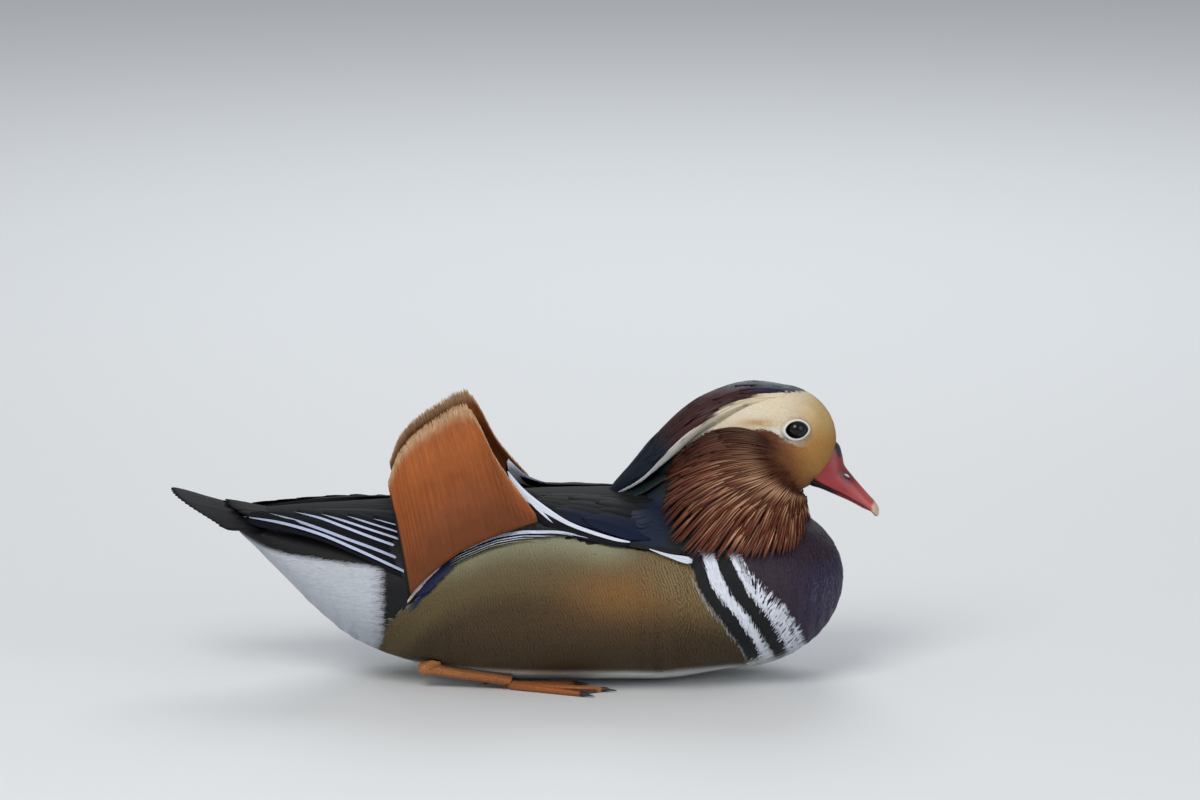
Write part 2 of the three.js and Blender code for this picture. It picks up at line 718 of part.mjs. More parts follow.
const scapular = {
  low: {
    x: curveThrough([[0, 59], [0.3, 42], [0.55, 21], [0.75, 6], [0.9, -3], [1, -8]]),
    y: curveThrough([[0, 48], [0.3, 45.5], [0.55, 39.5], [0.75, 28], [0.9, 18], [1, 13]]),
    z: curveThrough([[0, 68], [0.3, 71.5], [0.55, 76], [0.75, 80.5], [0.9, 87.5], [1, 96]]),
  },
  high: {
    x: curveThrough([[0, 57], [0.55, 26], [0.75, 10], [0.9, -2], [1, -7.4]]),
    y: curveThrough([[0, 16], [0.55, 12], [0.75, 12], [0.9, 12], [1, 12]]),
    z: curveThrough([[0, 84.5], [0.55, 85.6], [0.75, 85.4], [0.9, 89.5], [1, 95.4]]),
  },
};
const scapularFeathers = [
  { from: 0, to: 1, start: 0.1, end: 0.1, half: 5.2, lift: 1.2 },
  { from: 0.05, to: 0.92, start: 0.32, end: 0.36, half: 5, lift: 1.8 },
  { from: 0, to: 0.82, start: 0.55, end: 0.7, half: 5.6, lift: 1.5 },
  { from: 0, to: 0.7, start: 0.82, end: 0.92, half: 5.6, lift: 1 },
  { from: 0, to: 0.5, start: 0.22, end: 0.24, half: 5.4, lift: 2.6 },
  { from: 0, to: 0.42, start: 0.56, end: 0.62, half: 5.6, lift: 2.8 },
];
function onScapulars(s, t, lift) {
  const { low, high } = scapular;
  const edge = point(low.x(t), low.y(t), low.z(t));
  const inner = point(high.x(t), high.y(t), high.z(t));
  const crown = 5.5 * Math.sin(Math.PI * s) * (1 - t) + lift;
  return edge.lerp(inner, s).add(point(0, 0.5 * crown, 0.86 * crown));
}
function scapularSolid(side) {
  const face = (lift) => (s, t) => mirrored(onScapulars(s, 0.5 * t, lift), side);
  const vanes = scapularFeathers.map(({ from, to, start, end, half, lift }) => {
    const at = (t, up) => mirrored(onScapulars(mix(start, end, t), mix(from, to, t), up), side);
    return vane({
      path: (t) => at(t, mix(lift, lift * 0.7, t)),
      out: () => point(0.1, side * mix(0.85, 0.35, start), 0.86).normalize(),
      half,
      ridge: 0.9,
      steps: to > 0.6 ? 5 : 3,
    });
  });
  const core = plate(face(0.8), face(-3), 5, 4);
  return largest(carved(joined([core, ...vanes]), [torsoGrown, neckGrown, crestGrown, sailRoom(side)]));
}

// Sail: one broad feather that wraps the rump's side and stands above the back

const sail = {
  foot: {
    x: curveThrough([[0, -53], [0.25, -44], [0.5, -26], [0.75, -8], [1, 6]]),
    y: curveThrough([[0, 49], [0.25, 49.5], [0.5, 47], [0.75, 41.5], [1, 33.5]]),
    z: curveThrough([[0, 45], [0.25, 54.5], [0.5, 67], [0.75, 73.5], [1, 76.5]]),
  },
  top: {
    x: curveThrough([[0, -62.5], [0.2, -57], [0.45, -43], [0.7, -26], [0.85, -12], [1, 4]]),
    y: curveThrough([[0, 20.5], [0.45, 17], [0.7, 16], [0.85, 21], [1, 31]]),
    z: curveThrough([[0, 91], [0.2, 103], [0.45, 115], [0.7, 122.5], [0.85, 101], [1, 79.5]]),
  },
  thick: 1.1,
};
function sailPlace(s, t, lift, side) {
  const { foot, top } = sail;
  const from = point(foot.x(s), foot.y(s), foot.z(s));
  const to = point(top.x(s), top.y(s), top.z(s));
  const rise = Math.hypot(to.y - from.y, to.z - from.z);
  const at = from.lerp(to, t);
  const bow = 0.16 * rise * Math.sin(Math.PI * t) * (1 - t);
  const past = Math.min(0, s) + Math.max(0, s - 1);
  return mirrored(at.add(point(60 * past, bow + lift, 0.8 * bow + 0.6 * lift)), side);
}
const sailFlute = (s) => 0.4 * Math.sin(6 * Math.PI * s) ** 2;
function sailSolid(side) {
  const face = (lift, flute) => (s, t) =>
    sailPlace(s, t, lift + flute * sailFlute(s) * Math.min(1, 3 * t), side);
  const sheet = plate(face(2.6 + sail.thick, 1), face(2.6, 1), 12, 6);
  const shaft = solidOfRings(
    Array.from({ length: 9 }, (_, r) => {
      const s = mix(0.01, 0.99, r / 8);
      const radius = mix(0.8, 1.5, s);
      return Array.from({ length: 5 }, (__, i) => {
        const angle = (2 * Math.PI * i) / 5;
        const lift = 2.6 + sail.thick / 2 + radius * Math.cos(angle);
        return sailPlace(s, 0.03, lift, side).add(point(0, 0, radius * Math.sin(angle)));
      });
    }),
  );
  return largest(carved(joined([sheet, shaft]), [torsoGrown]));
}
function sailRoom(side) {
  const face = (lift) => (s, t) => sailPlace(mix(-0.04, 1.04, s), mix(-0.05, 1.02, t), lift, side);
  return plate(face(9), face(2.6 - 0.8), 10, 5);
}

// Wings: the folded wing shows between flank and sail, and its primaries lie along the rump

const wing = {
  low: {
    x: curveThrough([[0, -50], [0.5, -95], [1, -131]]),
    z: curveThrough([[0, 52], [0.5, 67.5], [1, 75]]),
    y: curveThrough([[0, 47], [0.5, 30.5], [1, 12]]),
  },
  high: {
    x: curveThrough([[0, -50], [0.5, -75], [1, -128]]),
    z: curveThrough([[0, 79], [0.5, 79.5], [1, 78]]),
    y: curveThrough([[0, 21], [0.5, 17.5], [1, 9]]),
  },
};
const wingFeathers = [
  { s: 0.03, to: 1, half: 4.8, lift: 0.6 },
  { s: 0.16, to: 0.94, half: 4.8, lift: 1.2 },
  { s: 0.29, to: 0.84, half: 4.8, lift: 1.8 },
  { s: 0.42, to: 0.7, half: 4.8, lift: 2.4 },
  { s: 0.54, to: 0.54, half: 4.8, lift: 3 },
  { s: 0.66, to: 0.86, half: 5.4, lift: 1 },
  { s: 0.82, to: 0.97, half: 5.8, lift: 1.4 },
];
function onWing(s, t, lift) {
  const { low, high } = wing;
  const at = point(low.x(t), low.y(t), low.z(t)).lerp(point(high.x(t), high.y(t), high.z(t)), s);
  const crown = 5 * Math.sin(Math.PI * s) * (1 - t) + lift;
  return at.add(point(0, 0.6 * crown, 0.8 * crown));
}
function wingSolid(side) {
  const face = (lift) => (s, t) => mirrored(onWing(s, 0.5 * t, lift), side);
  const core = plate(face(0.4), face(-2), 5, 4);
  const vanes = wingFeathers.map(({ s, to, half, lift }) =>
    vane({
      path: (t) => mirrored(onWing(s, to * t, lift * mix(1, 0.6, t)), side),
      out: () => point(0.1, side * mix(0.85, 0.3, s), mix(0.5, 0.95, s)).normalize(),
      half,
      ridge: 0.9,
      steps: 4,
      shape: curveThrough([[0, 0.9], [0.5, 1], [0.8, 0.8], [1, 0]]),
    }),
  );
  return largest(carved(joined([core, ...vanes]), [torsoGrown, tailGrown, sailRoom(side)]));
}

// Materials and the scene graph

const finish = (colour, roughness) =>
  new THREE.MeshStandardMaterial({ color: colour, roughness, metalness: 0 });
const finishes = {
  body: finish(0x6b4a24, 0.8),
  head: finish(0xcbb489, 0.8),
  neck: finish(0x6d3317, 0.8),
  crest: finish(0x231a33, 0.55),
  ruff: finish(0x9c4a1e, 0.7),
  bill: finish(0xb23a3c, 0.4),
  eye: finish(0x0c0a09, 0.08),
  wing: finish(0x17181c, 0.6),
  sail: finish(0xc06a24, 0.7),
  scapulars: finish(0x1a2340, 0.5),
  tail: finish(0x1d1d1a, 0.65),
  foot: finish(0xc98a3c, 0.6),
};

const duck = new THREE.Group();
duck.name = "mandarin_drake";
function addNode(name, solid, material) {
  const mesh = solid.getMesh();
  const geometry = new THREE.BufferGeometry();
  geometry.setAttribute("position", new THREE.BufferAttribute(mesh.vertProperties, 3));
  geometry.setIndex(new THREE.BufferAttribute(mesh.triVerts, 1));
  const part = new THREE.Mesh(geometry, material);
  part.name = name;
  duck.add(part);
}

addNode("torso", torsoSolid, finishes.body);
addNode("neck", neckSolid, finishes.neck);
addNode("head", headSolid, finishes.head);
addNode("bill_upper", billUpperSolid, finishes.bill);
addNode("bill_lower", billLowerSolid, finishes.bill);
addNode("crest", crestSolid(), finishes.crest);
addNode("tail", tailSolid(), finishes.tail);
const paired = {
  eye: [eyeSolid(1, 0), finishes.eye],
  ruff: [ruffSolid(1), finishes.ruff],
  scapulars: [scapularSolid(1), finishes.scapulars],
  wing: [wingSolid(1), finishes.wing],
  sail: [sailSolid(1), finishes.sail],
  leg: [legSolid(), finishes.foot],
  foot: [footSolid(), finishes.foot],
};
for (const [name, [solid, material]] of Object.entries(paired)) {
  addNode(`${name}_left`, solid, material);
  addNode(`${name}_right`, mirrorImage(solid), material);
}

export default duck;
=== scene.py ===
import math

import bmesh
import bpy
import numpy as np
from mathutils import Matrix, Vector


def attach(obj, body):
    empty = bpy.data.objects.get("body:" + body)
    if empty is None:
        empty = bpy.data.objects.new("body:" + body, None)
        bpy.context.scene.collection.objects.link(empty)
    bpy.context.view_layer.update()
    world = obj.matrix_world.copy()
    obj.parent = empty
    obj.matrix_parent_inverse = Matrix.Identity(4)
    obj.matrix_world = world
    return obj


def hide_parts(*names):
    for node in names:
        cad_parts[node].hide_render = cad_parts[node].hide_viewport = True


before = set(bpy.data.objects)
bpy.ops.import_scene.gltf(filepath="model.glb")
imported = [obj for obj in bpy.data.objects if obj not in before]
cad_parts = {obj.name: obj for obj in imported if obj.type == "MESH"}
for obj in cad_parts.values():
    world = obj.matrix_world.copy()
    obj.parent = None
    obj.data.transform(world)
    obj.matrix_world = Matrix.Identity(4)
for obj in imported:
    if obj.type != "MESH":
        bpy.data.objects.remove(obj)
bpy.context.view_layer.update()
mm = 0.001
sideNames = {1: "left", -1: "right"}
print("frame loaded")


def addObject(name, data):
    made = bpy.data.objects.new(name, data)
    bpy.context.scene.collection.objects.link(made)
    return made


# Camera, lights and floor

cameraSetup = {
    "aim": (34.5, 0, 128.2),
    "elevation": 11.0,
    "distance": 6000.0,
    "frameWidth": 552.0,
    "sensor": 36.0,
    "clipEnd": 100.0,
}
studio = {
    "key": {"place": (-0.55, -1.25, 1.45), "size": 1.1, "power": 22.0, "colour": (1.0, 0.97, 0.93)},
    "fill": {"place": (1.35, -1.1, 0.7), "size": 1.4, "power": 8.0, "colour": (0.93, 0.96, 1.0)},
    "rim": {"place": (0.1, 1.3, 1.1), "size": 1.0, "power": 10.0, "colour": (0.95, 0.98, 1.0)},
    "lampAim": (0.02, 0, 0.06),
    "worldColour": (0.93, 0.95, 1.0),
    "worldStrength": 0.42,
    "floorColour": (0.66, 0.68, 0.69),
    "floorRoughness": 0.75,
    "floorSize": 9.0,
}


def aimAt(thing, target):
    thing.rotation_euler = (Vector(target) - thing.location).to_track_quat("-Z", "Y").to_euler()


def makeCamera():
    camera = addObject("camera", bpy.data.cameras.new("camera"))
    aim = Vector(cameraSetup["aim"]) * mm
    tilt = math.radians(cameraSetup["elevation"])
    distance = cameraSetup["distance"] * mm
    camera.location = aim + distance * Vector((0, -math.cos(tilt), math.sin(tilt)))
    aimAt(camera, aim)
    camera.data.sensor_width = cameraSetup["sensor"]
    camera.data.lens = cameraSetup["sensor"] * cameraSetup["distance"] / cameraSetup["frameWidth"]
    camera.data.clip_end = cameraSetup["clipEnd"]
    bpy.context.scene.camera = camera


def makeStudio():
    scene = bpy.context.scene
    for name in ("key", "fill", "rim"):
        spec = studio[name]
        light = bpy.data.lights.new(name, "AREA")
        light.shape = "DISK"
        light.size = spec["size"]
        light.energy = spec["power"]
        light.color = spec["colour"]
        lamp = addObject(name, light)
        lamp.location = spec["place"]
        aimAt(lamp, studio["lampAim"])
    world = bpy.data.worlds.new("studioWorld")
    world.use_nodes = True
    background = world.node_tree.nodes["Background"]
    background.inputs["Color"].default_value = (*studio["worldColour"], 1)
    background.inputs["Strength"].default_value = studio["worldStrength"]
    scene.world = world
    scene.view_settings.view_transform = "Standard"
    half = studio["floorSize"] / 2
    mesh = bpy.data.meshes.new("floor")
    corners = [(-half, -half, 0), (half, -half, 0), (half, half, 0), (-half, half, 0)]
    mesh.from_pydata(corners, [], [(0, 1, 2, 3)])
    floor = addObject("floor", mesh)
    material = bpy.data.materials.new("paleFloor")
    material.use_nodes = True
    shader = material.node_tree.nodes["Principled BSDF"]
    shader.inputs["Base Color"].default_value = (*studio["floorColour"], 1)
    shader.inputs["Roughness"].default_value = studio["floorRoughness"]
    mesh.materials.append(material)


makeCamera()
makeStudio()
print("studio made")


# Forms, in millimetres: the same lines as the solids have


def curveThrough(pairs):
    # a smooth curve that stays between its values
    xs = np.array([p[0] for p in pairs], float)
    ys = np.array([p[1] for p in pairs], float)
    run = np.diff(xs)
    rise = np.diff(ys) / run
    slope = np.zeros(len(xs))
    slope[0] = rise[0]
    slope[-1] = rise[-1]
    for i in range(1, len(xs) - 1):
        if rise[i - 1] * rise[i] > 0:
            before = 2 * run[i] + run[i - 1]
            after = run[i] + 2 * run[i - 1]
            slope[i] = (before + after) / (before / rise[i - 1] + after / rise[i])

    def value(at):
        at = np.clip(np.asarray(at, float), xs[0], xs[-1])
        i = np.clip(np.searchsorted(xs, at, side="right") - 1, 0, len(run) - 1)
        t = (at - xs[i]) / run[i]
        t2, t3 = t * t, t * t * t
        return (
            (2 * t3 - 3 * t2 + 1) * ys[i]
            + (t3 - 2 * t2 + t) * run[i] * slope[i]
            + (3 * t2 - 2 * t3) * ys[i + 1]
            + (t3 - t2) * run[i] * slope[i + 1]
        )

    return value


def mix(a, b, t):
    return a + (b - a) * t


def smoothStep(low, high, value):
    t = np.clip((np.asarray(value, float) - low) / (high - low), 0, 1)
    return t * t * (3 - 2 * t)


def unit(v):
    return v / np.maximum(np.linalg.norm(v, axis=-1, keepdims=True), 1e-9)


torsoLines = {
    "top": curveThrough([(-136, 75), (-122, 74.5), (-110, 75.5), (-85, 78), (-55, 79), (-25, 81.5),
                         (15, 85.2), (60, 85.6), (95, 84)]),
    "bottom": curveThrough([(-136, 66), (-124, 58), (-118, 52), (-110, 44), (-95, 29), (-78, 16), (-55, 7),
                            (-30, 1.5), (0, -1.4), (60, -1.4), (95, 3)]),
    "half": curveThrough([(-136, 12), (-124, 17), (-110, 24), (-90, 34), (-60, 46), (-25, 55), (15, 58.5),
                          (55, 58), (95, 50)]),
    "widest": curveThrough([(-136, 70), (-118, 66), (-100, 56), (-60, 43), (-20, 37), (60, 36), (95, 42),
                            (147.5, 46)]),
    "front": (95, 147.5),
    "rear": (-120, -135),
    "upper": 2.4,
    "lower": 2.1,
}
headLines = {
    "top": curveThrough([(54, 99), (64, 107), (76, 118), (90, 128), (105, 134.5), (117, 136.5)]),
    "bottom": curveThrough([(54, 90), (64, 88), (76, 86), (95, 84), (117, 83.5)]),
    "half": curveThrough([(54, 8), (64, 12), (76, 16), (90, 18.3), (105, 19.3), (117, 18.8)]),
    "widest": curveThrough([(54, 95), (76, 101), (95, 105), (117, 108), (144.5, 110)]),
    "front": (117, 144.3),
    "rear": (80, 56),
    "upper": 2.1,
    "lower": 2.0,
}
neckLines = {
    "front": curveThrough([(50, 126), (66, 132), (73, 132.5), (79, 130), (84, 125.6), (90, 124), (104, 122)]),
    "rear": curveThrough([(50, 20), (72, 33), (79, 43), (85, 50), (92, 58), (98, 65), (104, 72)]),
    "half": curveThrough([(50, 42), (66, 37), (73, 33), (80, 28.5), (88, 23.5), (96, 19.5), (104, 17)]),
}


def keelSection(lines, x):
    past = np.where(
        x > lines["front"][0],
        (x - lines["front"][0]) / (lines["front"][1] - lines["front"][0]),
        np.where(x < lines["rear"][0], (lines["rear"][0] - x) / (lines["rear"][0] - lines["rear"][1]), 0),
    )
    share = np.sqrt(np.maximum(0, 1 - past * past))
    middle = lines["widest"](x)
    up = (lines["top"](x) - middle) * share
    down = (middle - lines["bottom"](x)) * share
    return middle, up, down, lines["half"](x) * share


def keelSide(lines, x, z):
    middle, up, down, half = keelSection(lines, x)
    above = z > middle
    reach = np.where(above, up, down)
    power = np.where(above, lines["upper"], lines["lower"])
    share = np.minimum(np.abs(z - middle) / np.maximum(reach, 1e-6), 1)
    return half * (1 - share**power) ** (1 / power)


def neckSide(x, z):
    ahead, behind = neckLines["front"](z), neckLines["rear"](z)
    share = np.clip((x - (ahead + behind) / 2) / ((ahead - behind) / 2), -1, 1)
    return neckLines["half"](z) * np.sqrt(1 - share * share)


def sideOfBody(x, z):
    sides = [keelSide(torsoLines, x, z), keelSide(headLines, x, z), neckSide(x, z)]
    return sum(s**8 for s in sides) ** 0.125


def onSide(x, z, side, lift):
    # a place on the body's side and the way out of it, a lift above the surface
    x, z = np.asarray(x, float), np.asarray(z, float)
    step, steepest = 0.5, 2.5
    y = sideOfBody(x, z)
    alongX = (sideOfBody(x + step, z) - sideOfBody(x - step, z)) / (2 * step)
    alongZ = (sideOfBody(x, z + step) - sideOfBody(x, z - step)) / (2 * step)
    leanX, leanZ = (np.clip(-slope, -steepest, steepest) for slope in (alongX, alongZ))
    out = unit(np.stack([leanX, np.ones_like(y), leanZ], -1))
    at = np.stack([x, y, z], -1) + out * np.asarray(lift)[..., None]
    flip = np.array([1, side, 1])
    return at * flip, out * flip


def shadeSmooth(mesh):
    mesh.polygons.foreach_set("use_smooth", np.ones(len(mesh.polygons), bool))


def meshPiece(name, vertices, faces):
    mesh = bpy.data.meshes.new(name)
    mesh.from_pydata([tuple(v) for v in vertices], [], [tuple(f) for f in faces])
    mesh.update()
    shadeSmooth(mesh)
    return addObject(name, mesh)


def tubeOfRings(rings):
    # rings of equal count, capped by a fan at each end
    count = rings.shape[1]
    vertices = rings.reshape(-1, 3)
    faces = []
    for r in range(len(rings) - 1):
        for i in range(count):
            j = (i + 1) % count
            a, b = r * count, (r + 1) * count
            faces.append((a + i, b + i, b + j, a + j))
    faces.append(tuple(range(count - 1, -1, -1)))
    last = (len(rings) - 1) * count
    faces.append(tuple(range(last, last + count)))
    return vertices, faces


def keelRings(lines, steps, around):
    rear, front = lines["rear"], lines["front"]
    ends = np.cos(np.linspace(0, math.pi / 2, steps, endpoint=False))
    xs = np.concatenate([
        rear[0] + (rear[1] - rear[0]) * ends * 0.999,
        np.linspace(rear[0], front[0], steps * 3),
        front[0] + (front[1] - front[0]) * ends[::-1] * 0.999,
    ])
    angle = np.linspace(0, 2 * math.pi, around, endpoint=False)
    across, rise = np.cos(angle), np.sin(angle)
    power = np.where(rise > 0, 2 / lines["upper"], 2 / lines["lower"])
    rings = []
    for x in xs:
        middle, up, down, half = keelSection(lines, x)
        y = half * np.sign(across) * np.abs(across) ** power
        z = middle + np.where(rise > 0, up, down) * np.sign(rise) * np.abs(rise) ** power
        rings.append(np.stack([np.full(around, x), y, z], 1))
    return np.array(rings)


def neckRings(steps, around):
    angle = np.linspace(0, 2 * math.pi, around, endpoint=False)
    rings = []
    for z in np.linspace(50, 104, steps):
        ahead, behind = neckLines["front"](z), neckLines["rear"](z)
        x = (ahead + behind) / 2 + (ahead - behind) / 2 * np.cos(angle)
        rings.append(np.stack([x, neckLines["half"](z) * np.sin(angle), np.full(around, z)], 1))
    return np.array(rings)


def applyModifiers(piece):
    graph = bpy.context.evaluated_depsgraph_get()
    made = bpy.data.meshes.new_from_object(piece.evaluated_get(graph))
    old = piece.data
    piece.modifiers.clear()
    piece.data = made
    made.name = piece.name
    bpy.data.meshes.remove(old)
    return piece


def readArray(items, field, width=1, kind=float):
    values = np.zeros(len(items) * width, kind)
    items.foreach_get(field, values)
    return values.reshape(-1, width) if width > 1 else values


def readPoints(mesh):
    return readArray(mesh.vertices, "co", 3) / mm


def readNormals(mesh):
    return readArray(mesh.vertex_normals, "vector", 3)


def writePoints(mesh, points):
    mesh.vertices.foreach_set("co", (points * mm).ravel())


def writeAttribute(mesh, name, values, kind="FLOAT"):
    field = "vector" if kind == "FLOAT_VECTOR" else "value"
    mesh.attributes.new(name, kind, "POINT").data.foreach_set(field, np.ravel(values))


def writeMap(mesh, name, places):
    # a UV map, from one place for each point
    corners = readArray(mesh.loops, "vertex_index", kind=int)
    mesh.uv_layers.new(name=name).data.foreach_set("uv", places[corners].ravel())


def faceOutwards(source, target=None, merge=0.0):
    # points closer than merge are joined first
    work = bmesh.new()
    work.from_mesh(source)
    if merge:
        bmesh.ops.remove_doubles(work, verts=work.verts, dist=merge)
    bmesh.ops.recalc_face_normals(work, faces=work.faces)
    work.to_mesh(target or source)
    work.free()


def remeshSmooth(piece, voxel, factor, times):
    remesh = piece.modifiers.new("remesh", "REMESH")
    remesh.mode = "VOXEL"
    remesh.voxel_size = voxel * mm
    remesh.use_smooth_shade = True
    smooth = piece.modifiers.new("smooth", "SMOOTH")
    smooth.factor = factor
    smooth.iterations = times
    applyModifiers(piece)


skinSetup = {
    "voxel": 1.3, "inset": 1.0, "softness": 0.6, "smoothing": 8, "shade": 0.8,
    "eyeHollow": 1.6, "eyeSpread": (8.5, 7.5), "brow": 0.9, "overFloor": 0.35,
}
eyeSetup = {
    "x": 124.8, "z": 117.5, "radius": 6.2, "sunk": 4.3, "length": 9.8, "height": 8.2, "squash": (0.87, 0.8),
    "fromMiddle": 8,
}


def makeSkin():
    vertices, faces = [], []
    for rings in (keelRings(torsoLines, 10, 64), keelRings(headLines, 10, 48), neckRings(24, 48)):
        v, f = tubeOfRings(rings)
        base = sum(len(part) for part in vertices)
        vertices.append(v)
        faces += [tuple(i + base for i in face) for face in f]
    skin = meshPiece("skin", np.concatenate(vertices) * mm, faces)
    faceOutwards(skin.data)
    remeshSmooth(skin, skinSetup["voxel"], skinSetup["softness"], skinSetup["smoothing"])
    co = readPoints(skin.data) - readNormals(skin.data) * skinSetup["inset"]
    # a shallow hollow for each eye, and a soft brow over it
    spreadX, spreadZ = skinSetup["eyeSpread"]
    away = np.hypot((co[:, 0] - eyeSetup["x"]) / spreadX, (co[:, 2] - eyeSetup["z"]) / spreadZ)
    hollow = skinSetup["eyeHollow"] * np.exp(-(away**2) * 1.2)
    brow = skinSetup["brow"] * np.exp(-((away - 1.35) ** 2) * 8) * smoothStep(-3, 4, co[:, 2] - eyeSetup["z"])
    co[:, 1] += np.sign(co[:, 1]) * np.where(np.abs(co[:, 1]) > eyeSetup["fromMiddle"], brow - hollow, 0)
    co[:, 2] = np.maximum(co[:, 2], skinSetup["overFloor"])
    writePoints(skin.data, co)
    skin.data.update()
    return skin


skin = makeSkin()
print("skin made:", len(skin.data.vertices), "points")


# Plumage colours, and where each lies on the bird

tintTable = {
    "belly": (220, 220, 218),
    "flankOlive": (92, 78, 50),
    "flankGrey": (138, 138, 112),
    "flankBrown": (68, 51, 33),
    "flankOrange": (128, 90, 48),
    "flankBuff": (132, 112, 76),
    "edgeWhite": (200, 210, 230),
    "edgePink": (214, 194, 188),
    "patchBlue": (28, 34, 70),
    "black": (16, 17, 20),
    "shoulderBlue": (21, 30, 52),
    "backOlive": (25, 27, 27),
    "undertail": (178, 186, 198),
    "barWhite": (218, 223, 234),
    "breast": (46, 32, 46),
    "breastPurpleSheen": (50, 44, 78),
    "neckGreen": (14, 27, 29),
    "crownBlue": (27, 28, 54),
    "crestMaroon": (58, 27, 26),
    "crestGreen": (12, 28, 40),
    "white": (226, 227, 230),
    "cream": (216, 202, 174),
    "creamPale": (212, 208, 198),
    "ochre": (172, 128, 62),
    "forehead": (196, 168, 116),
    "lores": (168, 122, 62),
    "cheek": (128, 78, 42),
    "underEye": (94, 52, 30),
    "ruff": (102, 50, 31),
    "ruffDark": (46, 24, 16),
    "ruffShaft": (204, 158, 122),
    "ruffTip": (104, 52, 34),
    "sailTop": (174, 97, 46),
    "sailMiddle": (142, 75, 32),
    "sailFoot": (112, 60, 28),
    "sailFringe": (214, 178, 140),
    "silver": (184, 194, 222),
    "wing": (15, 17, 22),
    "tail": (13, 13, 15),
    "bladeWhite": (216, 224, 238),
}


def linear(rgb):
    c = np.array(rgb) / 255
    return np.where(c <= 0.04045, c / 12.92, ((c + 0.055) / 1.055) ** 2.4)


tint = {name: linear(rgb) for name, rgb in tintTable.items()}

# heights here are as the camera sees them, so that a mark lies alike on both sides
seenSlope = 0.1944
flankTop = curveThrough([(-58, 28), (-52, 36), (-43.7, 45.7), (-33.2, 55), (-21.5, 60.7), (-10.9, 64.3),
                         (2, 66), (13.7, 66), (25.4, 64.2), (37.2, 61.3), (52.9, 58.3), (75.9, 54.6),
                         (90, 51)])
flankRear = curveThrough([(-10, -74), (16, -64), (31.7, -55.2), (34.5, -50.6), (50.9, -37.3), (60, -30)])
barEdges = [
    curveThrough([(-6, 108), (10, 101), (22.3, 92.9), (42.5, 79.1), (53.7, 76.2), (62, 75)]),
    curveThrough([(-6, 116), (10, 108.5), (24.2, 99.4), (46.7, 83.3), (56.5, 81.4), (62, 81)]),
    curveThrough([(-6, 121), (10, 114), (25.1, 104.4), (40, 93.5), (56.9, 86.8), (62, 86)]),
    curveThrough([(-6, 128), (12, 121), (27, 112.2), (40, 102), (56, 93.8), (62, 92)]),
    curveThrough([(-6, 136), (12, 131), (31, 120), (42, 109), (54, 99.5), (62, 97)]),
]
undertailTop = curveThrough([(-140, 68), (-134.3, 66.8), (-117.3, 58.4), (-90, 53.5), (-64.4, 50.4)])
crownEdge = curveThrough([(38, 77.8), (49.5, 82.5), (55.2, 88.4), (59.2, 93.1), (64.4, 97.8), (69, 103.6),
                          (72.5, 108.3), (78.2, 114.2), (84, 118.9), (89.7, 123), (96.6, 127), (105.8, 130.2),
                          (115, 131.4), (119.6, 131.8), (124.2, 132.1), (128.8, 132.3), (132, 132.8),
                          (136, 134)])
creamEdge = curveThrough([(39.1, 77.3), (46, 78.4), (51.8, 82), (57.5, 87.2), (63.3, 93.1), (66.7, 97.2),
                          (70.2, 101.9), (74.8, 107.1), (80.5, 111.2), (88.6, 114.4), (96.6, 114.8),
                          (103.5, 114), (110.4, 114.2), (113.9, 113.4), (119.6, 110.1), (126.5, 106)])


def band(value, low, high, soft):
    return smoothStep(low - soft, low + soft, value) * (1 - smoothStep(high - soft, high + soft, value))


def blob(x, h, at, spread):
    return np.exp(-(((x - at[0]) / spread[0]) ** 2) - ((h - at[1]) / spread[1]) ** 2)


